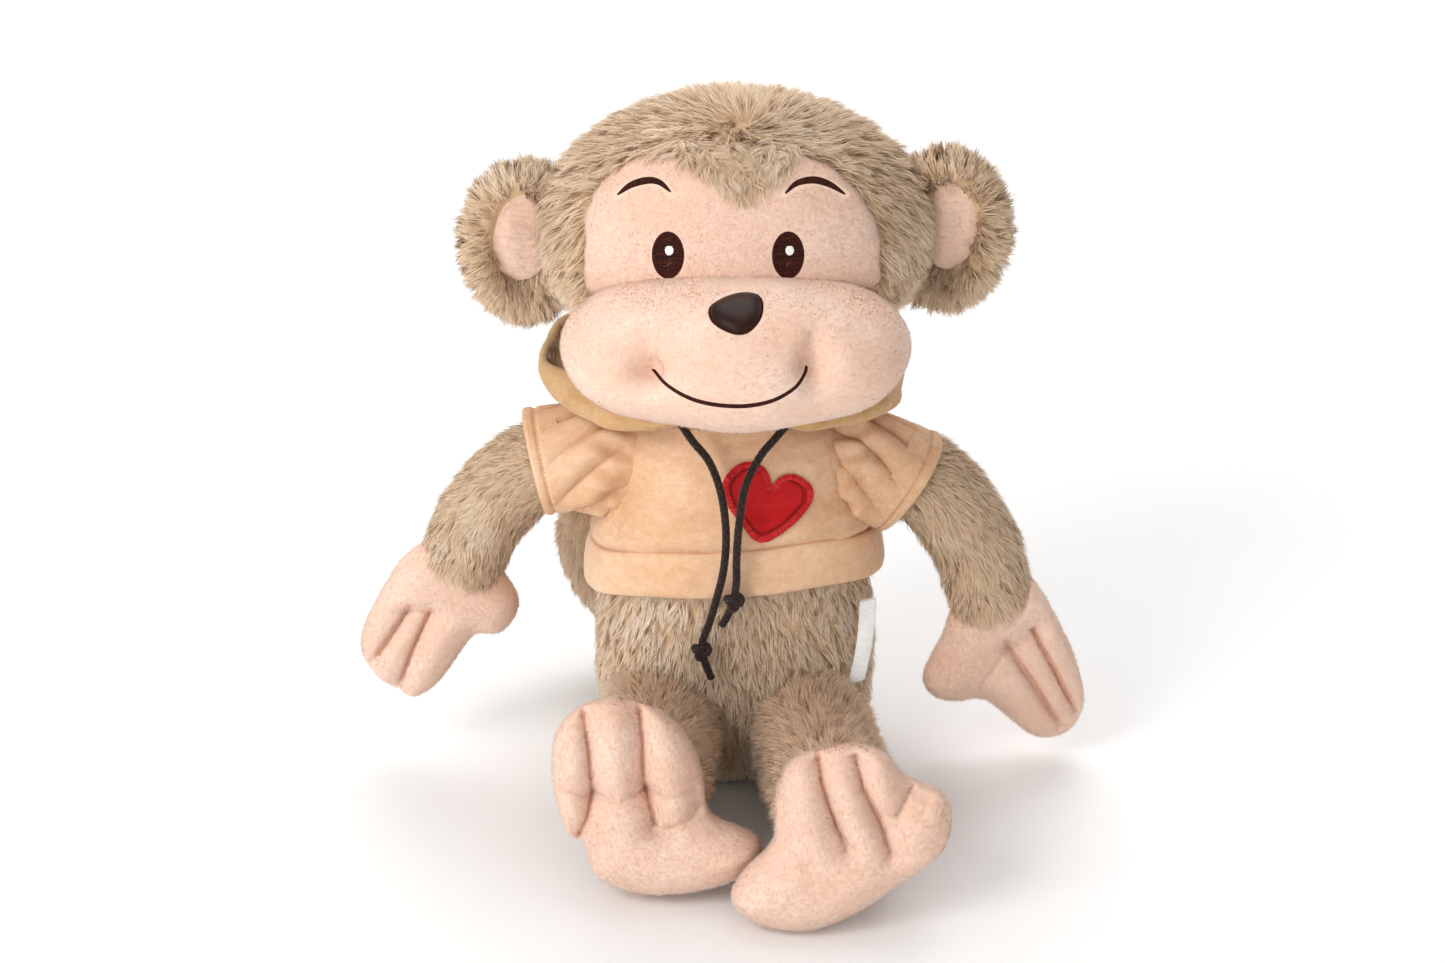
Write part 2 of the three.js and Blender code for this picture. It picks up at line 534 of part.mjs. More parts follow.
function cord(points, steps) {
  const section = new THREE.Shape();
  for (let i = 0; i < CORD_SIDES; i += 1) {
    const a = (2 * Math.PI * i) / CORD_SIDES;
    const x = (CORD_D / 2) * Math.cos(a);
    const y = (CORD_D / 2) * Math.sin(a);
    if (i === 0) section.moveTo(x, y);
    else section.lineTo(x, y);
  }
  const curve = new THREE.CatmullRomCurve3(points.map((q) => new THREE.Vector3(...q)));
  return toManifold(new THREE.ExtrudeGeometry(section, {
    steps, bevelEnabled: false, extrudePath: curve,
  }));
}
for (const side of ['left', 'right']) {
  const knotRoom = ball(KNOT[side], KNOT_R + GAP, 10, 6);
  add(`drawstring_${side}`, cord(CORD_ROUTE[side], 14).subtract(knotRoom), CORD, 0.8);
  add(`drawstring_knot_${side}`, ball(KNOT[side], KNOT_R, 10, 6), CORD, 0.8);
  add(`drawstring_end_${side}`, cord(TAIL_END[side], 2).subtract(knotRoom), CORD, 0.8);
}

export default group;
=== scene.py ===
import math
import bpy
import numpy as np
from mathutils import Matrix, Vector
from mathutils.bvhtree import BVHTree


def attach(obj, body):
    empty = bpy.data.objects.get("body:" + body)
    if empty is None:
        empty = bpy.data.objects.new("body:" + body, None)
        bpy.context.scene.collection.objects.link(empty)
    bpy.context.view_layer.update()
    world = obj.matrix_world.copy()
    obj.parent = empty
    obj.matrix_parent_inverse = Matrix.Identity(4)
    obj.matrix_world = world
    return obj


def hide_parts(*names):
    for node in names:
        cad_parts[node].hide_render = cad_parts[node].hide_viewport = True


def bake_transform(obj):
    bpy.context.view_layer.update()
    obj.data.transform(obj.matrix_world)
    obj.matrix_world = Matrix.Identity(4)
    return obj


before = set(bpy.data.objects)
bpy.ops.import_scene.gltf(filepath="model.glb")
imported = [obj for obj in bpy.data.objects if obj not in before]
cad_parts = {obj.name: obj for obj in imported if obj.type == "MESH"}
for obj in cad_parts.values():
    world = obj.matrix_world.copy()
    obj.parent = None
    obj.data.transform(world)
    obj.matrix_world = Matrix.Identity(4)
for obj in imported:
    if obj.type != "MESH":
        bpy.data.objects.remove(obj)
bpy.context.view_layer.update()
MM = 0.001
TAU = 2 * math.pi


# ---------------------------------------------------------------- camera and light
def look_at(ob, target):
    ob.rotation_euler = (Vector(target) - ob.location).to_track_quat("-Z", "Y").to_euler()


ELEV = math.radians(25)
TARGET = Vector((-0.0055, 0.0, 0.131))
DIST = 1.5
cam_data = bpy.data.cameras.new("camera")
cam_data.lens = 84.9
cam_data.sensor_width = 36
cam = bpy.data.objects.new("camera", cam_data)
cam.location = TARGET + DIST * Vector((0, -math.cos(ELEV), math.sin(ELEV)))
bpy.context.collection.objects.link(cam)
look_at(cam, TARGET)
bpy.context.scene.camera = cam


def area_light(name, place, size, power, target=(0, 0, 0.15)):
    data = bpy.data.lights.new(name, "AREA")
    data.shape = "SQUARE"
    data.size = size
    data.energy = power
    ob = bpy.data.objects.new(name, data)
    ob.location = place
    bpy.context.collection.objects.link(ob)
    look_at(ob, target)


area_light("key", (-1.15, -1.2, 1.35), 0.9, 15.5)
area_light("front", (-0.9, -1.75, 0.3), 1.0, 11)
area_light("fill", (1.3, -1.0, 0.8), 1.1, 0.3)
area_light("top", (0.1, 0.4, 1.7), 1.0, 5)
area_light("back", (0.0, 1.7, 1.9), 2.2, 26, (0.0, 1.3, 0.0))
world = bpy.data.worlds.new("studio")
world.use_nodes = True
world.node_tree.nodes["Background"].inputs[0].default_value = (1, 1, 1, 1)
world.node_tree.nodes["Background"].inputs[1].default_value = 0.5
bpy.context.scene.world = world
bpy.context.scene.view_settings.view_transform = "Standard"
bpy.context.scene.view_settings.look = "None"


# ---------------------------------------------------------------- mesh helpers (millimetres in, metres out)
def mesh_object(name, verts, faces, mats=(), index=None, normals=None):
    """faces is one (n, k) array or a list of such arrays with different k."""
    groups = faces if isinstance(faces, list) else [faces]
    me = bpy.data.meshes.new(name)
    sizes = np.concatenate([np.full(len(g), g.shape[1]) for g in groups])
    loops = np.concatenate([np.asarray(g).ravel() for g in groups]).astype(np.int32)
    me.vertices.add(len(verts))
    me.vertices.foreach_set("co", (np.asarray(verts, dtype=np.float64) * MM).ravel())
    me.loops.add(len(loops))
    me.loops.foreach_set("vertex_index", loops)
    me.polygons.add(len(sizes))
    me.polygons.foreach_set("loop_start", np.concatenate([[0], np.cumsum(sizes)[:-1]]).astype(np.int32))
    me.polygons.foreach_set("use_smooth", np.ones(len(sizes), dtype=bool))
    for m in mats:
        me.materials.append(m)
    if index is not None:
        me.polygons.foreach_set("material_index", np.asarray(index, dtype=np.int32))
    if normals is not None:
        shade = me.attributes.new("custom_normal", "FLOAT_VECTOR", "POINT")
        shade.data.foreach_set("vector", np.asarray(normals, dtype=np.float32).ravel())
    me.update()
    me.validate()
    ob = bpy.data.objects.new(name, me)
    bpy.context.collection.objects.link(ob)
    return ob


def arrays(ob):
    """Vertices in millimetres and triangles of an object."""
    me = ob.data
    me.calc_loop_triangles()
    v = np.empty(len(me.vertices) * 3)
    me.vertices.foreach_get("co", v)
    t = np.empty(len(me.loop_triangles) * 3, dtype=np.int32)
    me.loop_triangles.foreach_get("vertices", t)
    return v.reshape(-1, 3) / MM, t.reshape(-1, 3)


def normals_of(v, t):
    fn = np.cross(v[t[:, 1]] - v[t[:, 0]], v[t[:, 2]] - v[t[:, 0]])
    n = np.zeros_like(v)
    for k in range(3):
        np.add.at(n, t[:, k], fn)
    return unit(n)


def unit(a):
    return a / np.maximum(np.linalg.norm(a, axis=-1, keepdims=True), 1e-9)


def around(count):
    """Angles of one full turn, without the last, which repeats the first."""
    return np.linspace(0, TAU, count, endpoint=False)


def grid_faces(rows, cols, wrap):
    i = np.arange(rows - 1)[:, None]
    j = np.arange(cols if wrap else cols - 1)[None, :]
    a = i * cols + j
    b = i * cols + (j + 1) % cols
    return np.stack([a, b, b + cols, a + cols], -1).reshape(-1, 4)


def lid(cols):
    """Triangles that close the first ring of a wrapped grid."""
    return np.array([[0, k + 1, k] for k in range(1, cols - 1)])


def ball_grid(cols, rows):
    """Directions of a sphere laid out as a wrapped grid with a tiny hole closed at each pole."""
    th = np.linspace(1e-3, math.pi - 1e-3, rows)[:, None]
    ph = around(cols)[None, :]
    d = np.stack([np.sin(th) * np.cos(ph), np.sin(th) * np.sin(ph), np.cos(th) + 0 * ph], -1).reshape(-1, 3)
    f = grid_faces(rows, cols, True)[:, ::-1]
    caps = [np.arange(cols)[::-1], (rows - 1) * cols + np.arange(cols)]
    tris = []
    for c in caps:
        tris += [[c[0], c[k + 1], c[k]] for k in range(1, cols - 1)]
    return d, f, np.array(tris)


def spread(field, where, size):
    """A smooth bump of height 1 within about size of a point."""
    return np.exp(-(((field - np.asarray(where)) / size) ** 2).sum(-1))


def line_distance(p, points):
    """How far points are from a line, and how far along it, from 0 to 1, their nearest place is."""
    best = np.full(len(p), 1e9)
    along = np.zeros(len(p))
    pts = np.asarray(points, dtype=float)
    for k in range(len(pts) - 1):
        a, b = pts[k], pts[k + 1]
        t = np.clip(((p - a) @ (b - a)) / ((b - a) @ (b - a)), 0, 1)
        d = np.linalg.norm(p - a - t[:, None] * (b - a), axis=1)
        near = d < best
        best[near] = d[near]
        along[near] = (k + t[near]) / (len(pts) - 1)
    return best, along


def catmull(points, t):
    """Points of a smooth curve through the given ones, at t from 0 to 1."""
    p = np.asarray(points, dtype=float)
    p = np.vstack([2 * p[0] - p[1], p, 2 * p[-1] - p[-2]])
    n = len(p) - 3
    x = np.clip(np.asarray(t, dtype=float), 0, 1) * n
    k = np.minimum(x.astype(int), n - 1)
    u = (x - k)[:, None]
    a, b, c, d = p[k], p[k + 1], p[k + 2], p[k + 3]
    return 0.5 * (2 * b + (c - a) * u + (2 * a - 5 * b + 4 * c - d) * u ** 2 + (3 * b - a - 3 * c + d) * u ** 3)


def noise3(p, size, seed, octaves=2):
    """Smooth value noise in -1..1, size in millimetres."""
    out = np.zeros(len(p))
    for o in range(octaves):
        q = p * (2 ** o) / size + 31.7 * seed + 7.3 * o
        i = np.floor(q).astype(np.int64)
        f = q - i
        f = f * f * (3 - 2 * f)
        acc = np.zeros(len(p))
        for dx in (0, 1):
            for dy in (0, 1):
                for dz in (0, 1):
                    h = (i[:, 0] + dx) * 73856093 ^ (i[:, 1] + dy) * 19349663 ^ (i[:, 2] + dz) * 83492791
                    val = ((h * 2654435761) % 4294967296) / 2147483648.0 - 1
                    w = (f[:, 0] if dx else 1 - f[:, 0]) * (f[:, 1] if dy else 1 - f[:, 1]) * (f[:,
                        2] if dz else 1 - f[:, 2])
                    acc += w * val
        out += acc / (2 ** o)
    return out / 1.5


def noise_field(p, size, seed):
    """A direction of three noises, with three seeds in a row."""
    return np.stack([noise3(p, size, seed + k) for k in range(3)], -1)


def even_points(q, count, last=True):
    """Points of a dense curve at even distances along it, and its length."""
    far = np.concatenate([[0], np.cumsum(np.linalg.norm(np.diff(q, axis=0), axis=1))])
    t = np.linspace(0, far[-1], count, endpoint=last)
    return np.stack([np.interp(t, far, q[:, k]) for k in range(q.shape[1])], -1), far[-1]


def final(ob, *mods):
    """Adds each (type, settings) modifier and leaves its result as the object's own mesh."""
    for kind, settings in mods:
        m = ob.modifiers.new(kind.lower(), kind)
        for k, val in settings.items():
            setattr(m, k, val)
    dg = bpy.context.evaluated_depsgraph_get()
    me = bpy.data.meshes.new_from_object(ob.evaluated_get(dg))
    old = ob.data
    ob.modifiers.clear()
    ob.data = me
    bpy.data.meshes.remove(old)
    me.polygons.foreach_set("use_smooth", np.ones(len(me.polygons), dtype=bool))
    return ob


def reshape(ob, move):
    """Moves every vertex: move(points, normals) gives the new points, in millimetres."""
    v, t = arrays(ob)
    v = move(v, normals_of(v, t))
    ob.data.vertices.foreach_set("co", (v * MM).ravel())
    ob.data.update()
    return ob


def blob(name, parts, voxel, mats):
    """One skin grown over overlapping ellipsoids: (centre, radii)."""
    d, f, caps = ball_grid(40, 24)
    vs, quads, tris = [], [], []
    for k, (c, r) in enumerate(parts):
        vs.append(d * np.asarray(r, dtype=float) + np.asarray(c, dtype=float))
        quads.append(f + k * len(d))
        tris.append(caps + k * len(d))
    ob = mesh_object(name, np.vstack(vs), [np.vstack(quads), np.vstack(tris)], mats)
    return final(ob, ("REMESH", {"mode": "VOXEL", "voxel_size": voxel * MM}),
                 ("SMOOTH", {"factor": 0.6, "iterations": 6}))


# ---------------------------------------------------------------- materials
def principled(name):
    m = bpy.data.materials.new(name)
    m.use_nodes = True
    return m, m.node_tree, m.node_tree.nodes["Principled BSDF"]


def hexc(h):
    c = [int(h[k:k + 2], 16) / 255 for k in (0, 2, 4)]
    return tuple(x / 12.92 if x <= 0.04045 else ((x + 0.055) / 1.055) ** 2.4 for x in c) + (1,)


def pile_material(name, low, mid, high, patch=45, streak=260, stretch=(1, 1, 3), bump=0.35, rough=0.85,
    sheen=0.35):
    """Short pile: broad brushed patches, fine streaks along the nap and a speckle of tips."""
    m, nt, p = principled(name)
    n, link = nt.nodes, nt.links
    co = n.new("ShaderNodeTexCoord")
    mp = n.new("ShaderNodeMapping")
    mp.inputs["Scale"].default_value = stretch
    link.new(co.outputs["Object"], mp.inputs["Vector"])
    layers = []
    for scale, detail, source in ((patch, 3, mp), (streak, 4, mp), (1500, 2, None)):
        t = n.new("ShaderNodeTexNoise")
        t.inputs["Scale"].default_value = scale
        t.inputs["Detail"].default_value = detail
        link.new(source.outputs["Vector"] if source else co.outputs["Object"], t.inputs["Vector"])
        layers.append(t.outputs["Fac"])
    total = None
    for fac, weight in zip(layers, (0.5, 0.3, 0.2)):
        mul = n.new("ShaderNodeMath")
        mul.operation = "MULTIPLY"
        mul.inputs[1].default_value = weight
        link.new(fac, mul.inputs[0])
        if total is None:
            total = mul.outputs[0]
        else:
            add = n.new("ShaderNodeMath")
            add.operation = "ADD"
            link.new(total, add.inputs[0])
            link.new(mul.outputs[0], add.inputs[1])
            total = add.outputs[0]
    ramp = n.new("ShaderNodeValToRGB")
    ramp.color_ramp.elements[0].position = 0.38
    ramp.color_ramp.elements[0].color = hexc(low)
    ramp.color_ramp.elements[1].position = 0.62
    ramp.color_ramp.elements[1].color = hexc(high)
    ramp.color_ramp.elements.new(0.5).color = hexc(mid)
    link.new(total, ramp.inputs["Fac"])
    link.new(ramp.outputs["Color"], p.inputs["Base Color"])
    b = n.new("ShaderNodeBump")
    b.inputs["Strength"].default_value = bump
    b.inputs["Distance"].default_value = 0.0008
    link.new(total, b.inputs["Height"])
    link.new(b.outputs["Normal"], p.inputs["Normal"])
    p.inputs["Roughness"].default_value = rough
    p.inputs["Sheen Weight"].default_value = sheen
    p.inputs["Sheen Roughness"].default_value = 0.4
    p.inputs["Specular IOR Level"].default_value = 0.2
    return m


def plain_fibre(name, colour, rough=0.75, sheen=0.2):
    """One shade of a yarn or hair: the variation comes from many strands of several shades."""
    m, _, p = principled(name)
    p.inputs["Base Color"].default_value = hexc(colour)
    p.inputs["Roughness"].default_value = rough
    p.inputs["Sheen Weight"].default_value = sheen
    p.inputs["Specular IOR Level"].default_value = 0.25
    return m


def fibres(prefix, colours, *finish):
    """The shades of one kind of hair or yarn."""
    return [plain_fibre(f"{prefix}_{k}", c, *finish) for k, c in enumerate(colours)]


MINKY = pile_material("peach_minky", "f1c9b0", "f5d2bc", "f8dcca", patch=28, streak=420, stretch=(1, 1, 1.6),
    bump=0.3)
MINKY_HAIR = fibres("minky_hair", ("f0c8ae", "f6d5c0", "fbe3d3"), 0.8, 0.3)
# Orange for the stitches at the groove bottoms: painted crease shade.
GROOVE_PAINTED_SHADE = plain_fibre("groove_thread_painted_shade", "f8b998", 0.8, 0.1)
VELOUR = pile_material("tan_velour", "e0b187", "eac09a", "f2d0af", patch=24, streak=240, stretch=(1, 1, 1.5),
    bump=0.4)
FUR_BASE = pile_material("fur_backing", "c7a783", "d3b48f", "dec09c", patch=60, streak=500)
FUR_SHADES = fibres("fur_shade", ("d2b08b", "dfbe9a", "eaccaa", "f3dabb", "f9e6ce"))
# The legs' fur is the same fur made darker: painted shade. The hood lining's pile uses it too.
FUR_PAINTED_SHADE = fibres("leg_fur_painted_shade", ("cda480", "dab491", "e6c3a1", "efd0b0", "f6dcc0"))
# The body's fur is the same fur made lighter: painted light on the belly and back.
BODY_FUR_PAINTED_LIGHT = fibres("body_fur_painted_light", ("e2c19d", "edcfad", "f6ddbf", "fce8cf", "fff1de"))
FLOSS = fibres("brown_floss", ("2b0e07", "3a150b", "481c10"), 0.9, 0.0)
WHITE = plain_fibre("white_floss", "f6f6f4", 0.4, 0.1)
SATIN = pile_material("brown_satin", "1f0b06", "2a110a", "38190f", patch=60, streak=700, stretch=(1, 1, 6),
    bump=0.25, rough=0.42, sheen=0.0)
RED = pile_material("red_satin", "b50f12", "c21417", "cd1d1f", patch=40, streak=900, stretch=(1, 1, 1),
    bump=0.2, rough=0.45, sheen=0.1)
RED_FLOSS = fibres("red_floss", ("b00e12", "c8181b", "dc2c2c"), 0.45, 0.1)
# Dark red for the line inside the heart's border: painted shade.
RED_PAINTED_SHADE = plain_fibre("heart_painted_shade_floss", "960b0f", 0.6, 0.1)
CORD = fibres("cord_yarn", ("140906", "22110b", "38211a"), 0.7, 0.25)
RIBBON = pile_material("blank_ribbon", "e6e6e2", "f2f2ef", "fbfbf9", patch=80, streak=900, stretch=(1, 1, 1),
    bump=0.2, rough=0.6, sheen=0.1)
VELOUR_HAIR = fibres("velour_hair", ("e0b187", "eac09a", "f6d8ba"), 0.8, 0.3)
# Orange pile for the walls of the finger and toe seams: painted crease shade.
SEAM_PAINTED_SHADE_HAIR = fibres("seam_painted_shade_hair", ("f8b28d", "fabf9e", "fccbb0"), 0.8, 0.2)
HOOD_HAIR = fibres("hood_hair", ("bd915c", "cda474", "ddb98d"), 0.8, 0.3)
HOOD_CLOTH = pile_material("hood_velour", "c0945f", "cda474", "dab68a", patch=24, streak=240,
    stretch=(1, 1, 1.5), bump=0.5)
LINING = pile_material("hood_lining_velour", "8f6a45", "a9835b", "c09b72", patch=90, streak=300,
    stretch=(1, 1, 1), bump=0.7)
THREAD = plain_fibre("seam_thread", "d3a378", 0.6, 0.2)


# ---------------------------------------------------------------- fur
FUR_LENGTH = 8.0
SHORT_FUR = 5.0  # where the toy sits on its fur
HEAD_FUR = 9.5
NAP = 0.9  # length of a short pile
NAP_PEACH = 1.2
VELOUR_WIDTH = 0.26
FLOOR_GAP = 0.2


def sample(v, t, count, rng):
    """Random points on a mesh with their normals, spread evenly by area."""
    n = normals_of(v, t)
    area = np.linalg.norm(np.cross(v[t[:, 1]] - v[t[:, 0]], v[t[:, 2]] - v[t[:, 0]]), axis=1)
    pick = rng.choice(len(t), size=count, p=area / area.sum())
    a, b = rng.random(count), rng.random(count)
    flip = a + b > 1
    a[flip], b[flip] = 1 - a[flip], 1 - b[flip]
    w = np.stack([1 - a - b, a, b], -1)[:, :, None]
    return (v[t[pick]] * w).sum(1), unit((n[t[pick]] * w).sum(1))


def roots_on(ob, count, rng, keep=None):
    """Random roots on an object and their normals, only where keep(points, normals) is true."""
    p, n = sample(*arrays(ob), count, rng)
    if keep is None:
        return p, n
    k = keep(p, n)
    return p[k], n[k]


def strands(name, roots, norms, comb, length, shades, rng, width=0.38, lift=0.7, per=13, clump=2.3,
            gather=0.34, steps=3):
    """Tapered hair blades in clumps. Each root is the centre of per blades that lean together at the tip."""
    n = len(roots)
    comb = unit(comb - norms * (comb * norms).sum(1, keepdims=True))
    side = unit(np.cross(norms, comb))
    wob = rng.normal(0, 0.28, n)[:, None]
    comb = unit(comb + side * wob)
    side = unit(np.cross(norms, comb))
    length = length * rng.uniform(0.8, 1.2, n)
    lift_c = lift * rng.uniform(0.7, 1.3, n)
    tip = roots + (comb * np.cos(lift_c)[:, None] + norms * np.sin(lift_c)[:, None]) * length[:, None]
    r = np.repeat(roots, per, 0)
    nr = np.repeat(norms, per, 0)
    cm = np.repeat(comb, per, 0)
    sd = np.repeat(side, per, 0)
    tp = np.repeat(tip, per, 0)
    ln = np.repeat(length, per) * rng.uniform(0.75, 1.12, n * per)
    lf = np.repeat(lift_c, per)
    m = n * per
    ang, rad = rng.uniform(0, TAU, m), clump * np.sqrt(rng.random(m))
    r = r + cm * (rad * np.cos(ang))[:, None] + sd * (rad * np.sin(ang))[:, None]
    own = r + (cm * np.cos(lf)[:, None] + nr * np.sin(lf)[:, None]) * ln[:, None]
    g = (gather * rng.uniform(0.6, 1.15, m))[:, None]
    end = own * (1 - g) + tp * g + rng.normal(0, 0.5, (m, 3))
    ctrl = r + nr * (ln * 0.5 * np.sin(np.minimum(lf + 0.55, 1.5)))[:, None] + cm * (ln * 0.28)[:, None]
    s = np.linspace(0, 1, steps + 1)
    pts = [(1 - u) ** 2 * r + 2 * u * (1 - u) * ctrl + u * u * end for u in s]
    roll = rng.normal(0, 0.6, m)
    w0 = width * rng.uniform(0.7, 1.3, m)
    verts = np.empty((m, 2 * steps + 1, 3))
    for k in range(steps + 1):
        tan = unit(pts[min(k + 1, steps)] - pts[max(k - 1, 0)])
        a = unit(np.cross(nr, tan))
        b = np.cross(tan, a)
        across = a * np.cos(roll)[:, None] + b * np.sin(roll)[:, None]
        if k < steps:
            w = (w0 * (1 - s[k]) ** 0.55 * 0.5)[:, None]
            verts[:, 2 * k] = pts[k] - across * w
            verts[:, 2 * k + 1] = pts[k] + across * w
        else:
            verts[:, 2 * k] = pts[k]
    base = (np.arange(m) * (2 * steps + 1))[:, None]
    quad = np.array([[2 * k, 2 * k + 2, 2 * k + 3, 2 * k + 1] for k in range(steps - 1)])
    quads = (base[:, None, :] + quad[None]).reshape(-1, 4)
    tris = base + np.array([[2 * steps - 2, 2 * steps, 2 * steps - 1]])
    tone = np.where(np.repeat(noise3(roots, 14, 91) > 0.25, per), 1, 0) + rng.integers(0, 2, m)
    # Roots take darker shades and tips lighter ones: painted shade deep in the pile.
    grad = np.array([0, 1, 2])[:steps]
    qi = np.clip(tone[:, None] + grad[None, :steps - 1], 0, len(shades) - 1).ravel()
    ti = np.clip(tone + grad[steps - 1], 0, len(shades) - 1)
    soft = np.repeat(unit(nr + 0.35 * cm * rng.uniform(-1, 1, m)[:, None])[:, None, :], 2 * steps + 1, 1)
    return mesh_object(name, verts.reshape(-1, 3), [quads, tris], shades, np.concatenate([qi, ti]),
        normals=soft.reshape(-1, 3))


def fur_on(ob, name, count, comb, length, shades, seed, keep=None, **more):
    """Clumped hair over an object's skin. comb(points, normals) gives the lie of the hair."""
    rng = np.random.default_rng(seed)
    p, n = roots_on(ob, count, rng, keep)
    ln = length(p) if callable(length) else np.full(len(p), float(length))
    if callable(more.get("lift")):
        more["lift"] = more["lift"](p)
    return strands(name, p, n, comb(p, n), ln, shades, rng, **more)


def shorter_below(height):
    """Hair lengths that shorten under a height."""
    return lambda p: np.where(p[:, 2] < height, SHORT_FUR, FUR_LENGTH)


def above_floor(hair):
    """Presses hair that would go through the floor flat on it."""
    v, _ = arrays(hair)
    hair.data.vertices.foreach_set("co", (np.stack([v[:, 0], v[:, 1], np.maximum(v[:, 2], FLOOR_GAP)],
        -1) * MM).ravel())


def fuzz(ob, name, count, length, shades, seed, width=0.3, keep=None):
    """The shortest pile of a plush cloth: one fine blade a hair, leaning with the nap."""
    rng = np.random.default_rng(seed)
    p, n = roots_on(ob, count, rng, keep)
    m = len(p)
    nap = noise_field(p, 16, 71) - np.array([0, 0, 0.8])
    nap = unit(nap - n * (nap * n).sum(1, keepdims=True)) + 0.5 * rng.normal(0, 1, (m, 3))
    side = unit(np.cross(n, nap))
    w = (width * rng.uniform(0.6, 1.2, m) / 2)[:, None]
    tip = p + (n * 0.55 + unit(nap) * 0.75) * (length * rng.uniform(0.6, 1.2, m))[:, None]
    verts = np.stack([p - side * w - n * 0.1, p + side * w - n * 0.1, tip], 1)
    up = np.cross(verts[:, 1] - verts[:, 0], verts[:, 2] - verts[:, 0])
    swap = (up * n).sum(1) < 0
    verts[swap] = verts[swap][:, [1, 0, 2]]
    return mesh_object(name, verts.reshape(-1, 3), np.arange(3 * m).reshape(-1, 3), shades,
        rng.integers(0, len(shades), m),
                       normals=np.repeat(n, 3, 0))


# ---------------------------------------------------------------- shared shapes
EYE_POINT = np.array(cam.location) / MM
HEAD_C, HEAD_R = np.array([0, 0, 250.0]), np.array([85.5, 67, 61.0])
MUZ_C, MUZ_R = np.array([0, -62, 223.0]), np.array([72, 52, 31.0])
FACE_X = -2.0
FACE_Z = 262.0
FRONT_Y = -60.0
TORSO = np.array([[0, 46, 38], [5, 54, 45], [22, 61, 51], [48, 63, 53], [80, 61, 51], [112, 56, 46],
    [140, 47, 38],
                  [156, 33, 28], [162, 20, 18]], dtype=float)
ARM = {"left": [[-50, 0, 140], [-86, -4, 140], [-109, -8, 121], [-121, -12, 97]],
       "right": [[48, 0, 138], [82, -4, 134], [104, -8, 108], [114, -12, 79]]}
LEG = {"left": [[-30, -22, 33], [-33, -60, 33], [-38, -108, 41]],
       "right": [[31, -22, 33], [36, -70, 32], [44, -130, 39]]}
TAIL = [[0, 52, 26], [-34, 67, 28], [-60, 66, 46], [-69, 58, 74], [-66, 48, 98]]


def torso_at(z):
    """Half width and half depth of the torso at each height."""
    c = catmull(TORSO, np.linspace(0, 1, 240))
    return np.interp(z, c[:, 0], c[:, 1]), np.interp(z, c[:, 0], c[:, 2])


def onto_plane(points, y_from, y0, slope=0.0, z0=0.0):
    """Moves (x, z) points given at depth y_from along the line of sight to the plane y = y0 + slope (z - z0)."""
    q = np.asarray(points, dtype=float)
    d = np.stack([q[:, 0], np.full(len(q), float(y_from)), q[:, 1]], -1) - EYE_POINT
    t = (y0 + slope * (EYE_POINT[2] - z0) - EYE_POINT[1]) / (d[:, 1] - slope * d[:, 2])
    return EYE_POINT + d * t[:, None]


def closed_curve(points, count):
    """Evenly spaced points of a smooth closed outline."""
    p = np.asarray(points, dtype=float)
    ring = np.vstack([p[-2:], p, p[:3]])
    q = catmull(ring, np.linspace(2 / (len(ring) - 1), (len(p) + 2) / (len(ring) - 1), 1200))
    return even_points(q, count, False)[0]


def tree_of(v, t):
    return BVHTree.FromPolygons([Vector(p) for p in v], [tuple(int(i) for i in q) for q in t])


def surface_of(ob):
    return tree_of(*arrays(ob))


def drop(tree, x, h, out=0.0):
    """The point of a surface on the line of sight through (x, h) of the front plane, and its normal."""
    aim = Vector((x, FRONT_Y, h)) - Vector(EYE_POINT)
    hit, nrm, _, _ = tree.ray_cast(Vector(EYE_POINT), aim.normalized())
    if hit is None:
        return None, None
    if nrm.dot(aim) > 0:
        nrm = -nrm
    return hit + nrm * out, nrm


END_SHARE = 0.16  # how much of a limb's grid rounds off each end


def skin_tube(name, path, radius, mats, cols=48, rows=60, dome=1.0):
    """A limb's skin round a smooth path, with rounded ends. radius(t) gives its radii."""
    s = np.linspace(0, 1, rows)
    t = np.clip((s - END_SHARE) / (1 - 2 * END_SHARE), 0, 1)
    even = np.linspace(0, 1, 200)
    tan = unit(np.gradient(catmull(path, even), axis=0))
    tn = unit(np.stack([np.interp(t, even, tan[:, k]) for k in range(3)], -1))
    side = unit(np.cross(np.array([0, 1.0, 0]), tn) + 1e-6)
    if abs(tn[0, 1]) > 0.8:
        side = unit(np.cross(np.array([0, 0, 1.0]), tn))
    out = np.cross(tn, side)
    r = radius(t)
    cap, ring = np.zeros(rows), np.ones(rows)
    lo, hi = s < END_SHARE, s > 1 - END_SHARE
    a = s[lo] / END_SHARE * math.pi / 2
    cap[lo], ring[lo] = -np.cos(a), np.sin(a)
    a = (1 - s[hi]) / END_SHARE * math.pi / 2
    cap[hi], ring[hi] = np.cos(a) * dome, np.sin(a)
    ph = around(cols)[None, :, None]
    v = (catmull(path, t) + tn * (cap * r)[:, None])[:, None, :] + ring[:, None, None] * r[:, None, None] * (
        side[:, None, :] * np.cos(ph) + out[:, None, :] * np.sin(ph))
    v, f = v.reshape(-1, 3), grid_faces(rows, cols, True)
    line = catmull(path, np.linspace(0, 1, 60))
    mid = v[f].mean(1)
    near = line[np.argmin(((mid[:, None] - line[None]) ** 2).sum(-1), axis=1)]
    way = (np.cross(v[f[:, 1]] - v[f[:, 0]], v[f[:, 2]] - v[f[:, 0]]) * (mid - near)).sum()
    return mesh_object(name, v, f if way > 0 else f[:, ::-1], mats)


def follow(path, sign=1):
    """Comb direction along a path for any points near it."""
    dense = catmull(path, np.linspace(0, 1, 40))
    tang = unit(np.gradient(dense, axis=0))

    def comb(p, n):
        k = np.argmin(((p[:, None, :] - dense[None]) ** 2).sum(-1), axis=1)
        return sign * tang[k] + 0.4 * noise_field(p, 15, 15)
    return comb


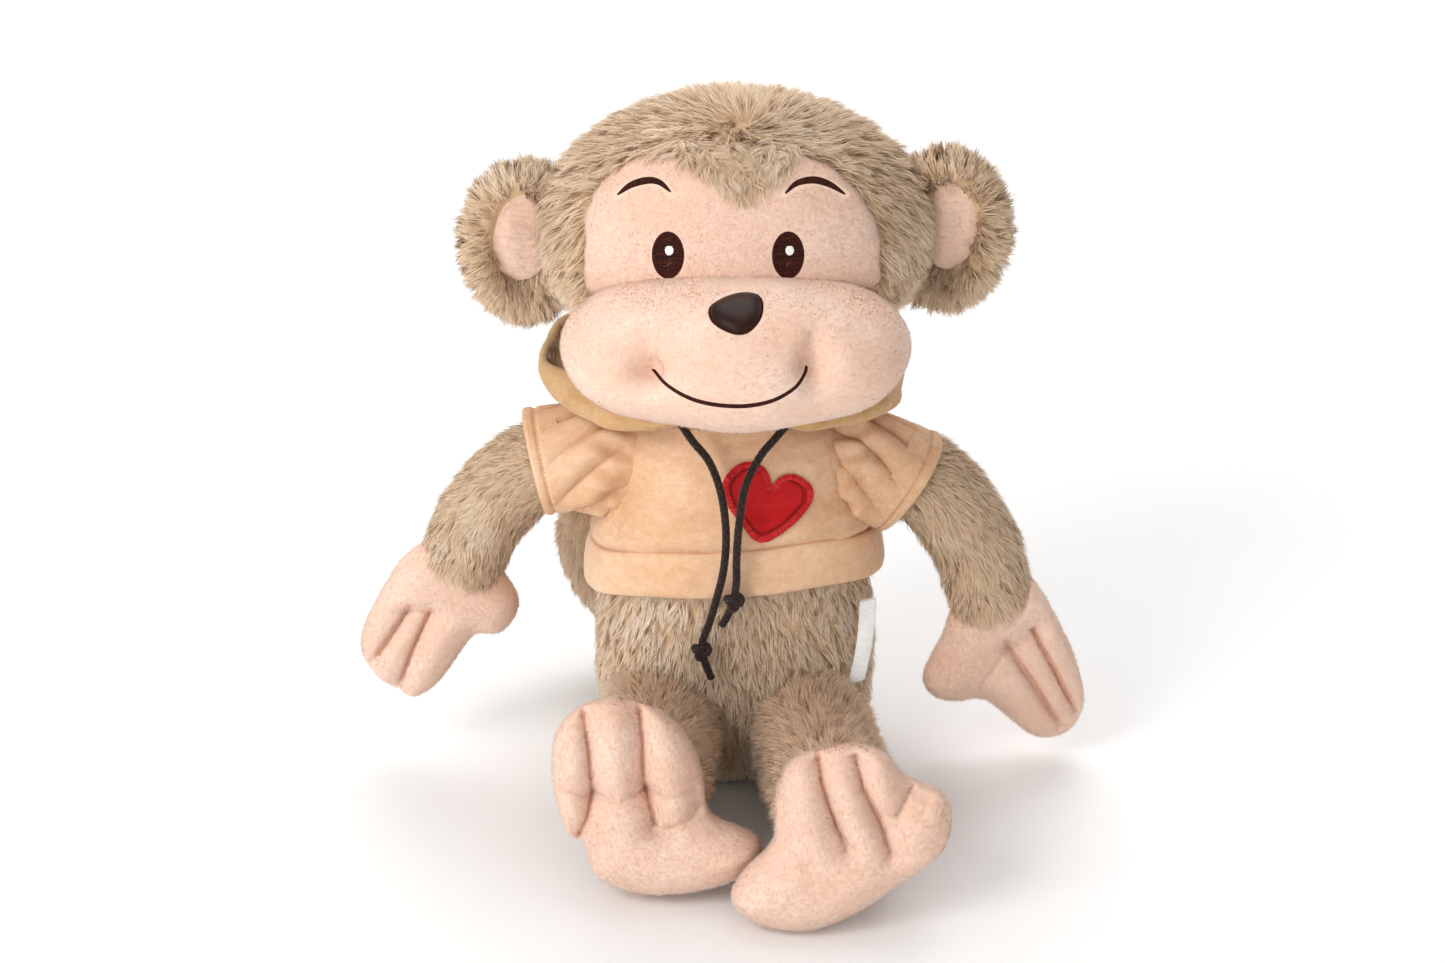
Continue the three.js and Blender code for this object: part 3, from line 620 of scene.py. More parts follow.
def toward_eye(name, verts, faces, mats):
    """A mesh whose first faces look at the viewer."""
    g = faces[0]
    half = g[:len(g) // 2]
    nrm = np.cross(verts[half[:, 1]] - verts[half[:, 0]], verts[half[:, 2]] - verts[half[:, 0]]).sum(0)
    if nrm @ (EYE_POINT - verts[half[:, 0]].mean(0)) < 0:
        faces = [q[:, ::-1] for q in faces]
    return mesh_object(name, verts, faces, mats)


def patch(name, tree, ring, mid, inner, rows, rise, mats):
    """A patch laid on a surface as seen from the front: its outline shrunk in rings, lifted by rise(x, share)."""
    verts, last = [], None
    for s in np.linspace(inner, 1, rows):
        for x, h in mid + (ring - mid) * s:
            q, n = drop(tree, x, h)
            if q is None:
                q, n = last
            last = (q, n)
            verts.append(np.array(q + n * rise(x, s)))
    return toward_eye(name, np.array(verts), [grid_faces(rows, len(ring), True), lid(len(ring))], mats)


def pillow(name, outline, middle, frame_of, front, back, fillet, grooves, mats, swell=0.0, cols=260, rows=46):
    """A stuffed pad between two panels: outline and grooves are (x, z) lists, frame_of places them in space.

    Each groove is (points, depth, width)."""
    edge = closed_curve(outline, cols)
    s = (np.linspace(0, 1, rows) ** 0.8)[1:]
    flat = np.array(middle) + (edge - np.array(middle))[None] * s[:, None, None]
    flat = np.vstack([np.array([middle], dtype=float), flat.reshape(-1, 2)])
    ring = np.vstack([edge, edge[:1]])
    depth, _ = line_distance(flat, ring[::2])
    rise = np.sqrt(np.maximum(1 - (1 - np.minimum(depth / fillet, 1)) ** 2, 0))
    rise = rise * (1 + swell * np.minimum(depth / 40, 1))
    rise[-cols:] = 0
    cut = np.zeros(len(flat))
    for pts, g, w in grooves:
        dist, _ = line_distance(flat, pts)
        cut += g * (0.6 * np.exp(-dist / w) + 0.5 * np.exp(-(dist / (3.6 * w)) ** 2))
    cut *= np.minimum(rise * 1.6, 1)
    base, outward = frame_of(flat)
    wob = 0.5 * noise3(base, 14, 3)
    fr = base + outward * (front * rise - cut + wob * rise)[:, None]
    bk = base - outward * (back * rise + wob * rise)[:, None]
    n = len(flat)
    g = grid_faces(rows - 1, cols, True) + 1
    fan = np.array([[0, 1 + (k + 1) % cols, 1 + k] for k in range(cols)])
    inner = n - cols
    remap = np.concatenate([np.arange(inner) + n, np.arange(inner, n)])
    verts = np.vstack([fr, bk[:inner]])
    return toward_eye(name, verts, [np.vstack([g, remap[g][:, ::-1]]), np.vstack([fan, remap[fan][:, ::-1]])],
        mats)


# ---------------------------------------------------------------- head
MASK_EDGE = [(-65, 266), (-64, 280), (-58, 293.5), (-47.5, 303), (-36, 307), (-22, 304.5), (-10, 298),
             (3, 292), (12, 299), (22.5, 307), (36, 304),
             (49, 294.5), (58, 282), (61.5, 270.5), (62, 258), (60, 246), (30, 240), (0, 238), (-34,
                 238), (-62, 243), (-65.5, 254)]
mask_ring = closed_curve(MASK_EDGE, 240)
mask_dir = np.arctan2(mask_ring[:, 1] - FACE_Z, mask_ring[:, 0] - FACE_X)
mask_far = np.hypot(mask_ring[:, 1] - FACE_Z, mask_ring[:, 0] - FACE_X)
order = np.argsort(mask_dir)


def mask_edge(angle):
    """Reach of the face mask's outline from its middle, by angle from +X, in the front plane."""
    return np.interp(angle, mask_dir[order], mask_far[order], period=TAU)


def seen(p):
    """Where points fall on the front plane: their x and height there."""
    d = p - EYE_POINT
    t = (FRONT_Y - EYE_POINT[1]) / d[:, 1]
    q = EYE_POINT + d * t[:, None]
    return q[:, 0], q[:, 2]


def in_mask(p, margin=0.0):
    x, h = seen(p)
    return (np.hypot(x - FACE_X, h - FACE_Z) < mask_edge(np.arctan2(h - FACE_Z, x - FACE_X)) + margin) & (p[:,
        1] < -8)


def in_muzzle(p, margin=0.0):
    return (((p - MUZ_C) / (MUZ_R + margin)) ** 2).sum(1) < 1


d, f, caps = ball_grid(110, 70)
hv = HEAD_C + d * (HEAD_R - 5.0)
hv += d * (1.0 * noise3(hv, 30, 1))[:, None]
head_skin = mesh_object("head_skin", hv, [f, caps], [FUR_BASE])
CROWN = np.array([2, -20, 308.0])


def head_comb(p, n):
    out = p - CROWN
    x, h = seen(p)
    away = np.stack([x - FACE_X, 0 * x, h - FACE_Z], -1)
    near = np.exp(-((np.hypot(away[:, 0], away[:, 2]) - mask_edge(np.arctan2(away[:, 2], away[:,
        0]))) / 16) ** 2) * (p[:, 1] < 0)
    side = near * (h < 296)
    over = near * (h >= 296)
    swirl = np.cross(n, unit(out)) * (0.6 * np.exp(-np.linalg.norm(out, axis=1) / 24))[:, None]
    lie = unit(out) + swirl + 0.1 * side[:, None] * unit(away) - 0.25 * over[:,
        None] * unit(away) * np.array([0.3, 0, 1])
    return lie + 0.38 * noise_field(p, 17, 3)


def head_keep(p, n):
    neck = (np.hypot(p[:, 0], p[:, 1]) < 24) & (p[:, 2] < 212)
    return ~in_mask(p, -4.5) & ~in_muzzle(p, -3) & ~neck


def crown_lift(p):
    return 0.5 + 0.3 * np.exp(-(np.linalg.norm(p - CROWN, axis=1) / 15) ** 2)


head_piles = [
    fur_on(head_skin, f"head_pile_{half}", count, head_comb, HEAD_FUR, FUR_SHADES, seed,
           lambda p, n, front=half == "front": head_keep(p,
               n) & ((p[:, 1] < 4) == front), lift=crown_lift, per=9, clump=1.8)
    for half, count, seed in (("front", 9000, 11), ("back", 8000, 12))]

# face mask, cut to its outline as seen from the front and tucked in at the edge
former = tree_of(HEAD_C + d * (HEAD_R - np.array([3.2, 2.0, 3.0])), f)
mask = patch("face_mask_pile", former, mask_ring, np.array([FACE_X, FACE_Z]), 0.02, 60,
             lambda x, s: 1.6 * math.cos(min(abs(x - FACE_X) / 62,
                 1) * math.pi / 2) * (1 - s ** 4) - 4.2 * s ** 22, [MINKY])

# muzzle: two full cheeks and a chin, pinched in at the ends of the mouth
d, f, caps = ball_grid(260, 150)
mv = MUZ_C + d * MUZ_R
CHEEK = {-1: np.array([-50, -84, 214.0]), 1: np.array([49, -82, 218.0])}
CORNER = {-1: np.array([-36, -103, 227.0]), 1: np.array([32, -105, 230.0])}
for sx in (-1, 1):
    mv += d * (4.5 * spread(mv, CHEEK[sx], 19))[:, None]
    c = CORNER[sx]
    mv -= d * (9.0 * spread(mv, c, 6.5))[:, None]
    for way, g, w in (((0.5 * sx, 8, 15), 6.0, 4.6), ((1.0 * sx, 2, -14), 4.4, 8.0),
        ((9.0 * sx, 4, 4), 2.2, 3.2), ((7 * sx, 4, 9), 2.0, 3.0)):
        dist, along = line_distance(mv, [c, c + np.array(way) * 0.5, c + np.array(way)])
        mv -= d * (g * np.exp(-(dist / w) ** 2) * (1 - 0.7 * along))[:, None]
mv += d * (3.0 * spread(mv, (0, -104, 212), 20) + 1.6 * spread(mv, (0, -104, 240), 17))[:, None]
mv += d * (0.55 * noise3(mv, 24, 6) + 0.15 * noise3(mv, 7, 7))[:, None]
muzzle = mesh_object("muzzle_pile", mv, [f, caps], [MINKY])

# forehead tuft: longer hair that runs to a point between the brows
rng = np.random.default_rng(5)
m = 520
x = 1 + rng.uniform(-1, 1, m) * 25
h = 300 + rng.uniform(-9, 12, m)
keep = h > 292 + 0.62 * np.abs(x - 3) - 3
root, nrm = [], []
for a, b in zip(x[keep], h[keep]):
    q, nq = drop(former, a, b, -3.5)
    if q is not None:
        root.append(q)
        nrm.append(nq)
root, nrm = np.array(root), np.array(nrm)
aim = np.array([3, -70, 281.0]) - root
tuft = strands("forehead_tuft", root, nrm, unit(aim) + 0.25 * rng.normal(0, 1, (len(root), 3)),
               np.clip(np.linalg.norm(aim, axis=1) * 0.7, 8, 13.5),
               FUR_SHADES, rng, lift=0.4, per=13, clump=2.0, gather=0.55)

face = surface_of(mask)
snout = surface_of(muzzle)


def rings_round(c, across, up, size, sides, wide=1.0, tall=1.0):
    """The rings of a rod along the points c."""
    ph = around(sides)[None, :, None]
    return c[:, None] + size * (wide * across[:, None] * np.cos(ph) + tall * up[:, None] * np.sin(ph))


def rod_mesh(name, rods, mats):
    """One mesh from many rods, each its rings and its shade."""
    vs, fs, idx, off = [], [], [], 0
    for ring, shade in rods:
        g = grid_faces(ring.shape[0], ring.shape[1], True)
        vs.append(ring.reshape(-1, 3))
        fs.append(g + off)
        idx.append(np.full(len(g), shade))
        off += len(vs[-1])
    return mesh_object(name, np.vstack(vs), np.vstack(fs), mats, np.concatenate(idx))


def stitch_mesh(name, lines, radius, mats, seed=1, sides=5):
    """Raised threads. Each line is a list of (point, normal) and is a rounded thread that dips in at both ends."""
    rng = np.random.default_rng(seed)
    rods = []
    for line in lines:
        pts = np.array([p for p, _ in line], dtype=float)
        ns = np.array([n for _, n in line], dtype=float)
        u = np.linspace(0, 1, len(pts))
        pts = pts + ns * (radius * 1.1 * np.sin(math.pi * u) ** 0.5 - 0.35 * radius)[:, None]
        tan = unit(np.gradient(pts, axis=0))
        side = unit(np.cross(ns, tan))
        ring = rings_round(pts, side, np.cross(tan, side), radius, sides, tall=0.8)
        rods.append((ring, rng.integers(0, len(mats))))
    return rod_mesh(name, rods, mats)


def run(tree, a, b, steps=5, out=0.0):
    """A thread's points from a to b, given in the front plane, laid on a surface."""
    line = []
    for u in np.linspace(0, 1, steps):
        p, n = drop(tree, a[0] + (b[0] - a[0]) * u, a[1] + (b[1] - a[1]) * u, out)
        if p is None:
            return None
        line.append((p, n))
    return line


def satin_ellipse(tree, cx, cz, rx, rz, pitch):
    lines = []
    rng = np.random.default_rng(3)
    for z in np.arange(-rz + pitch / 2, rz, pitch):
        half = rx * math.sqrt(max(1 - (z / rz) ** 2, 0))
        cuts = [-half, half] if half < 2 else [-half, rng.uniform(-0.5, 0.5) * half, half]
        for a, b in zip(cuts, cuts[1:]):
            lines.append(run(tree, (cx + a, cz + z), (cx + b, cz + z + 0.12), 5))
    return [q for q in lines if q]


def satin_ring(tree, cx, cz, rx, rz, wide, pitch):
    count = int(TAU * (rx + rz) / 2 / pitch)
    lines = []
    for k in range(count):
        a = TAU * k / count
        q = a + 0.06
        lines.append(run(tree, (cx + (rx - wide) * math.cos(a), cz + (rz - wide) * math.sin(a)),
            (cx + rx * math.cos(q), cz + rz * math.sin(q)), 4, 0.25))
    return [q for q in lines if q]


def satin_band(tree, spine, width, pitch, slant=0.5, out=0.0):
    """Satin stitches across a spine of front-plane points; width(t) is the band's full width."""
    q = catmull(spine, np.linspace(0, 1, 200))
    seg = np.linalg.norm(np.diff(q, axis=0), axis=1)
    total = seg.sum()
    cum = np.concatenate([[0], np.cumsum(seg)]) / total
    lines = []
    for t in np.linspace(0, 1, int(total / pitch)):
        p, p1, p2 = (np.array([np.interp(min(max(t + e, 0), 1), cum, q[:, k]) for k in range(2)]) for e in (0,
            -0.01, 0.01))
        tg = (p2 - p1) / np.linalg.norm(p2 - p1)
        nm = np.array([-tg[1], tg[0]])
        w = width(t) / 2
        lines.append(run(tree, p - nm * w - tg * slant * w, p + nm * w + tg * slant * w, 5, out))
    return [x for x in lines if x]


def place(ob, body, slot, *nodes):
    """One piece: its body, its material slot (not used) and the nodes of the solid part it stands for."""
    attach(ob, body)
    if nodes:
        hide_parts(*nodes)


EYES = {"left": (-27.7, 260.9), "right": (21.2, 260.9)}
BROWS = {"left": [(-48, 287.2), (-42.5, 291.3), (-36, 293.2), (-31, 292.3), (-26.6, 288.4)],
         "right": [(20, 287.8), (24.5, 292), (31, 293.4), (37.5, 291.6), (44, 287.4)]}
SMILE = [(-34.2, 210.2), (-28.5, 203.2), (-19, 197.2), (-8, 194.2), (4.3, 193.7), (15.5, 196.2),
         (24.4, 201.8), (28.4, 208), (29.3, 211.5)]


def bare_face(p):
    """True clear of the embroidery, where the short pile may stand."""
    x, h = seen(p)
    flat = np.stack([x, h], -1)
    free = ((x - 0.6) / 11.6) ** 2 + ((h - 235.4) / 9.8) ** 2 > 1
    for ex, ez in EYES.values():
        free &= ((x - ex) / 7.2) ** 2 + ((h - ez) / 10.9) ** 2 > 1
    for line, w in ((BROWS["left"], 1.9), (BROWS["right"], 1.9), (SMILE, 1.2)):
        free &= line_distance(flat, catmull(line, np.linspace(0, 1, 24)))[0] > w
    return free


for side, (ex, ez) in EYES.items():
    fill = satin_ellipse(face, ex, ez, 5.5, 9.0, 0.34)
    rim = satin_ring(face, ex, ez, 6.5, 10.2, 1.5, 0.3)
    place(stitch_mesh(f"eye_stitches_{side}", fill + rim, 0.21, FLOSS, 4), "head", "floss", f"eye_{side}")
    rows_z = np.arange(-1.9, 1.91, 0.3)
    glint = [run(face, (ex + 0.6 - h, ez + 2.1 + z), (ex + 0.6 + h, ez + 2.1 + z), 5, 0.42)
             for z in rows_z for h in [1.7 * math.sqrt(max(1 - (z / 2.05) ** 2, 0.05))]]
    place(stitch_mesh(f"eye_glint_{side}", glint, 0.2, [WHITE]), "head", "white_floss",
          f"eye_highlight_{side}")
for side, spine in BROWS.items():
    lines = satin_band(face, spine, lambda t: 0.5 + 2.6 * math.sin(math.pi * t) ** 0.8, 0.3)
    place(stitch_mesh(f"brow_stitches_{side}", lines, 0.2, FLOSS, 6), "head", "floss", f"eyebrow_{side}")
place(stitch_mesh("smile_stitches", satin_band(snout, SMILE, lambda t: 1.1 + 0.7 * math.sin(math.pi * t),
    0.32, 0.8), 0.22, FLOSS, 8),
      "head", "floss", "mouth_stitching")

# nose: padded satin with a stitched edge, a rounded triangle set a little askew
NOSE = [(-10.8, 235.2), (-9.6, 238.6), (-4, 242.2), (2.5, 244), (8.3, 243.2), (10.7, 239.5), (9.8, 233),
        (5.4, 227.4), (0.5, 226.2), (-5, 228.2), (-9.2, 231.4)]
ring = closed_curve(NOSE, 120)
mid = np.array([0.6, 235.6])
nose = patch("nose_satin", snout, ring, mid, 0.03, 26, lambda x,
             s: 3.4 * math.sqrt(max(1 - s ** 3.2, 0)) - 0.5 * s ** 6, [SATIN])
edge_pts = [(x, h) for x, h in ring[::4]] + [tuple(ring[0])]
nose_rim = stitch_mesh("nose_edge_stitches", satin_band(snout, edge_pts, lambda t: 1.0, 0.34, 0.5, 0.1), 0.2,
    FLOSS, 12)
place(nose, "head", "satin", "nose")
place(nose_rim, "head", "floss")
place(head_skin, "head", "long_pile_fur", "head_fur", "head_stuffing")
place(mask, "head", "minky", "face_mask")
place(muzzle, "head", "minky", "muzzle")
for ob in (*head_piles, tuft):
    place(ob, "head", "long_pile_fur")
place(fuzz(mask, "face_mask_nap", 60000, NAP, MINKY_HAIR, 101, keep=lambda p,
           n: ~in_muzzle(p, -1) & bare_face(p)), "head", "minky")
place(fuzz(muzzle, "muzzle_nap", 120000, 0.8, MINKY_HAIR, 102, keep=lambda p,
           n: ((((p - HEAD_C) / (HEAD_R - 4)) ** 2).sum(1) > 1) & bare_face(p)), "head", "minky")
neck = blob("neck_skin", [((0, 0, 174), (22, 22, 20)), ((0, 0, 191), (36, 34, 17))], 2.5, [FUR_BASE])
neck_pile = fur_on(neck, "neck_pile", 2600, lambda p, n: np.array([0, 0, -1.0]) + 0 * p, 6.5, FUR_SHADES, 15,
    lambda p, n: (p[:, 2] > 183) & (p[:, 2] < 203),
                   lift=0.5, per=9, clump=1.7)
place(neck, "neck", "long_pile_fur", "neck_stuffing")
place(neck_pile, "neck", "long_pile_fur")

# ears: a stuffed furry rim round a bare lining
for side, sx, ez, lin in (("left", -1, 242.5, (-92.0, 247.0)), ("right", 1, 248.0, (90.5, 252.0))):
    cx = sx * 89.5
    rim = []
    for k in range(40):
        a = TAU * k / 40
        rim.append(((cx + 18 * math.cos(a), 3 - 1.5 * math.cos(a) * sx, ez + 26.5 * math.sin(a)),
                    (6.0, 6.2, 6.0)))
    rim.append(((cx - 2 * sx, 6, ez), (20, 4.8, 27)))
    ear = blob(f"ear_skin_{side}", rim, 1.8, [FUR_BASE])
    lining_rows, lining_cols = 40, 120
    s = np.linspace(0.01, 1, lining_rows)[:, None]
    a = around(lining_cols)[None, :]
    lx = lin[0] + 13.5 * s * np.cos(a) * (1 + 0.10 * sx * np.sin(a))
    lz = lin[1] + 20.0 * s * np.sin(a)
    toward = np.clip(-(lx - lin[0]) * sx / 13.5, 0, 1)
    ly = -2.2 + 0.8 * s ** 6 - 1.2 * (1 - s ** 2)
    ly = ly + 0.06 * np.sin(lz * 2.4 + 0.4 * lx) + 4.5 * toward ** 3 + 0.6 * np.sin((lx - lin[0]) / 2.6) * (1 - s ** 2)
    lining = mesh_object(f"ear_lining_pile_{side}", np.stack([lx, ly, lz], -1).reshape(-1, 3),
                         [grid_faces(lining_rows, lining_cols, True)[:, ::-1],
                          lid(lining_cols)[:, [0, 2, 1]]], [MINKY])

    def ear_comb(p, n, cx=cx, ez=ez):
        return np.stack([(p[:, 0] - cx) * 1.3, 0.3 * (p[:, 1] - 3), p[:, 2] - ez],
                        -1) + 9 * np.stack([noise3(p, 12, 8), 0 * p[:, 0], noise3(p, 12, 9)], -1)

    def ear_keep(p, n, lin=lin):
        return ~((((p[:, 0] - lin[0]) / 12.5) ** 2 + ((p[:, 2] - lin[1]) / 19) ** 2 < 1) & (p[:, 1] < 4))

    hair = fur_on(ear, f"ear_pile_{side}", 1900, ear_comb, FUR_LENGTH, FUR_SHADES, 21 if sx < 0 else 22,
                  ear_keep, lift=0.75, clump=1.8, per=11)
    place(ear, f"{side}_ear", "long_pile_fur", f"ear_{side}")
    place(lining, f"{side}_ear", "minky", f"ear_lining_{side}")
    place(hair, f"{side}_ear", "long_pile_fur")
    place(fuzz(lining, f"ear_lining_nap_{side}", 5000, 1.1, MINKY_HAIR, 103), f"{side}_ear", "minky")

# ---------------------------------------------------------------- torso
rows, cols = 90, 120
zt = np.concatenate([np.full(8, 0.6), np.linspace(0.6, 160, rows - 8)])
shrink = np.concatenate([np.linspace(0.02, 0.98, 8), np.ones(rows - 8)])
w, dp = torso_at(zt)
a = around(cols)[None, :]
tv = np.stack([((w - 3.6) * shrink)[:, None] * np.cos(a), ((dp - 3.6) * shrink)[:, None] * np.sin(a),
               zt[:, None] + 2.2 + 0 * a], -1).reshape(-1, 3)
torso = mesh_object("torso_skin", tv, [grid_faces(rows, cols, True)], [FUR_BASE])


def hem_height(ang):
    """Middle of the hem band: it sags at the sides, most of all on the left."""
    f_, r_ = -np.sin(ang), np.cos(ang)
    return 103 + 5 * f_ + 4 * r_ + 3.5 * (f_ * f_ - r_ * r_) + 0.7 * np.sin(5 * ang)


def torso_comb(p, n):
    return np.stack([0.3 * n[:, 0] + 0.4 * noise3(p, 18, 12), 0.2 * n[:, 1], -1 + 0.4 * noise3(p, 18, 13)],
                    -1)


def torso_keep(p, n):
    return p[:, 2] < hem_height(np.arctan2(p[:, 1], p[:, 0])) - 2


torso_piles = [
    fur_on(torso, f"torso_pile_{half}", 8000, torso_comb, shorter_below(12), BODY_FUR_PAINTED_LIGHT, seed,
           lambda p, n, front=half == "front": torso_keep(p,
               n) & ((p[:, 1] < 0) == front), lift=0.42, per=9, clump=1.7)
    for half, seed in (("front", 31), ("back", 32))]
place(torso, "torso", "long_pile_fur", "torso_fur", "torso_stuffing")
for ob in torso_piles:
    above_floor(ob)
    place(ob, "torso", "long_pile_fur")

# ---------------------------------------------------------------- hooded top
NECKLINE = np.array([[140, 52.5, 43], [148, 52, 41], [154, 49, 39], [160, 44, 36], [165, 37, 33],
    [170, 31, 31], [176, 28, 28.5]], dtype=float)


def top_point(ang, z, ease):
    """A point of the hooded top's body for an angle and height, off the torso by ease."""
    w, dp = torso_at(z)
    w, dp = w + 5.0, dp + 5.0
    high = z > 132
    k = np.clip((z - 132) / 8, 0, 1)
    k = k * k * (3 - 2 * k)
    w = np.where(high, w * (1 - k) + np.interp(z, NECKLINE[:, 0], NECKLINE[:, 1]) * k, w)
    dp = np.where(high, dp * (1 - k) + np.interp(z, NECKLINE[:, 0], NECKLINE[:, 2]) * k, dp)
    return np.stack([(w + ease) * np.cos(ang), (dp + ease) * np.sin(ang), z], -1)


def outward(p):
    return unit(p * np.array([1, 1, 0]))


rows, cols = 144, 330
aa = around(cols)[None, :]
bottom = hem_height(aa) + 6
u = np.linspace(0, 1, rows)[:, None]
zz = bottom + (176 - bottom) * u
aa = aa + 0 * zz
p = top_point(aa.ravel(), zz.ravel(), 0.0)
above = zz.ravel() - (hem_height(aa.ravel()) + 9.5)
puff = 2.4 * np.exp(-((above - 6) / 7) ** 2) - 1.2 * np.exp(-(above / 2.0) ** 2)
fold = 0.9 * noise3(p * np.array([1, 1, 0.6]), 24, 41) + 0.35 * noise3(p, 9, 42)
for sx in (-1, 1):
    pit = np.array([sx * 57, -20, 122.0])
    for tilt, g, w_ in ((0.9, 1.5, 3.6), (0.2, -1.4, 4.4), (-0.3, 1.6, 4.0), (-0.9, -1.2, 4.0)):
        far = pit + np.array([-sx * 30, -20, 26 * tilt])
        dist, along = line_distance(p, [pit, (pit + far) / 2 + np.array([0, -4, -2]), far])
        fold += g * np.exp(-(dist / w_) ** 2) * (1 - along) ** 1.1
    top = np.array([sx * 44, -22, 156.0])
    for reach in (16, 26, 36):
        dist, along = line_distance(p, [top, top + np.array([-sx * 2 + sx * 0.18 * reach, -9, -reach])])
        fold += 0.9 * np.exp(-(dist / 2.8) ** 2) * (1 - along) * (1 if reach != 26 else -1)
dist, along = line_distance(p, [(36, -44, 116), (50, -32, 119), (60, -14, 121)])
fold += 2.2 * np.exp(-(dist / 3.2) ** 2)
p = p + outward(p) * (fold + puff)[:, None]
top_body = mesh_object("hoodie_body_cloth", p, grid_faces(rows, cols, True), [VELOUR])
top_tree = surface_of(top_body)
final(top_body, ("SOLIDIFY", {"thickness": 0.0016, "offset": -1.0}))

rows = 48
u = np.linspace(0, 1, rows, endpoint=False)[:, None]
aa = around(cols)[None, :] + 0 * u
th = u * TAU
hz = hem_height(aa) + 9.8 * np.sign(np.sin(th)) * np.abs(np.sin(th)) ** 0.8
he = 0.4 + 2.6 * np.sign(np.cos(th)) * np.abs(np.cos(th)) ** 0.55 + 0.35 * np.sin(9 * aa) * (np.cos(th) > 0)
p = top_point(aa.ravel(), hz.ravel(), he.ravel())
p += outward(p) * (0.7 * noise3(p, 15, 44) + 0.25 * noise3(p * np.array([1, 1, 2.2]), 6, 45))[:, None]
i = np.arange(rows)[:, None]
j = np.arange(cols)[None, :]
i2, j2 = (i + 1) % rows, (j + 1) % cols
loop = np.stack([i * cols + j, i * cols + j2, i2 * cols + j2, i2 * cols + j], -1).reshape(-1, 4)[:, ::-1]
hem = mesh_object("hoodie_hem_cloth", p, loop, [VELOUR])
place(top_body, "torso", "velour", "hoodie_body")
place(hem, "torso", "velour", "hoodie_hem_band")


def outside_top(p, n):
    x, h = seen(p)
    heart_far = line_distance(np.stack([x, h], -1),
        np.array([(4, 157), (11, 147), (22, 152), (11, 140)], dtype=float))[0]
    return ((n * outward(p)).sum(1) > -0.2) & ~((heart_far < 7) & (p[:, 1] < -20))


place(fuzz(top_body, "hoodie_body_nap", 110000, NAP, VELOUR_HAIR, 106, VELOUR_WIDTH, outside_top), "torso",
      "velour")
place(fuzz(hem, "hoodie_hem_nap", 60000, NAP, VELOUR_HAIR, 107, VELOUR_WIDTH, outside_top), "torso", "velour")

# sleeves, with the arms in them
SLEEVE = {"left": ((-41, 0, 141), (-1, 0, 0.10), (-86, -5, 143.5), (-0.976, -0.05, -0.217), 21.5, 23.5),
          "right": ((39, 0, 139), (1, 0, 0.05), (77, -5, 134.5), (0.85, -0.05, -0.53), 21.5, 24.5)}
for side, sx in (("left", -1), ("right", 1)):
    path = np.array(ARM[side], dtype=float)
    arm = skin_tube(f"arm_skin_{side}", path, lambda t: 16.6 - 1.6 * t * t, [FUR_BASE], dome=0.3)
    wrist = path[-1]
    heading = unit(path[-1] - path[-2])

    def arm_keep(p, n, sx=sx, wrist=wrist, heading=heading):
        return (p[:, 0] * sx > 64) & ((p - wrist) @ heading < 1.0)

    hair = fur_on(arm, f"arm_pile_{side}", 6200, follow(path), FUR_LENGTH, FUR_SHADES, 51 if sx < 0 else 52,
                  arm_keep, lift=0.5, per=8, clump=1.7)
    place(arm, f"{side}_arm", "long_pile_fur", f"arm_fur_{side}", f"arm_stuffing_{side}")
    place(hair, f"{side}_arm", "long_pile_fur")

    # sleeve: gathered into the armhole, wide at its turned hem
    c0, a0, c1, a1, r0, r1 = (np.array(q, dtype=float) for q in SLEEVE[side])
    rows, cols = 110, 260
    t = np.linspace(0, 1, rows)[:, None, None]
    ph = around(cols)[None, :, None]
    axis = unit(a0 * (1 - t) + a1 * t)
    sd = unit(np.cross([0, 1.0, 0], axis))
    fw = np.cross(axis, sd)
    wave = np.abs(np.sin(4.5 * ph - sx * 6.5 * t + 0.4 + 0.5 * np.sin(2 * ph))) ** 0.75
    gather = (5.4 * wave - 3.4) * np.exp(-((t - 0.46) / 0.36) ** 2)
    gather += (1.2 * np.sin(13 * ph + sx * 6 * t) * np.exp(-((t - 0.28) / 0.2) ** 2)
               + 1.4 * np.sin(3 * ph + 2.1) * t * t)
    pinch = 1.6 * np.exp(-((t - 0.42) / 0.2) ** 2) - 1.0 * np.exp(-((t - 0.93) / 0.02) ** 2)
    rad = r0 + (r1 - r0) * t + gather + pinch
    c = c0 + (c1 - c0) * t + np.array([0, 0, 2.0]) * np.sin(math.pi * t)
    radial = sd * np.cos(ph) + fw * np.sin(ph)
    v = c + rad * radial
    v += (0.35 * noise3(v.reshape(-1, 3), 9, 46)).reshape(rows, cols, 1) * radial
    n1 = radial[-1:]
    lip = np.linspace(0, math.pi, 9)[1:, None, None]
    v2 = v[-1:] + axis[-1:] * (1.6 * np.sin(lip)) - n1 * (1.5 * (1 - np.cos(lip)))
    inner = np.linspace(0, 1, 8)[1:, None, None]
    v3 = v[-1:] - n1 * (3.0 + 0.4 * inner) - axis[-1:] * (13 * inner)
    grid = np.concatenate([v, v2, v3])
    faces = grid_faces(rows + 15, cols, True)
    sleeve = mesh_object(f"sleeve_cloth_{side}", grid.reshape(-1, 3), faces if sx > 0 else faces[:, ::-1],
        [VELOUR])
    row = v[rows - 9]
    hem_lines = []
    for k in range(0, cols, 4):
        far = (k + 2) % cols
        hem_lines.append([(row[k], n1[0, k]), ((row[k] + row[far]) / 2, n1[0, k]), (row[far], n1[0, far])])
    seam = stitch_mesh(f"sleeve_hem_stitches_{side}", hem_lines, 0.22, [THREAD], 3)
    nap = fuzz(sleeve, f"sleeve_nap_{side}", 42000, NAP, VELOUR_HAIR, 108, VELOUR_WIDTH)
    for ob in (sleeve, seam, nap):
        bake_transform(ob)
    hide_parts(f"sleeve_{side}")

HOOD_MIDDLE = np.array([0, 5, 168.0])
LINING_FROM = 0.60  # the share of the profile after which the lining starts

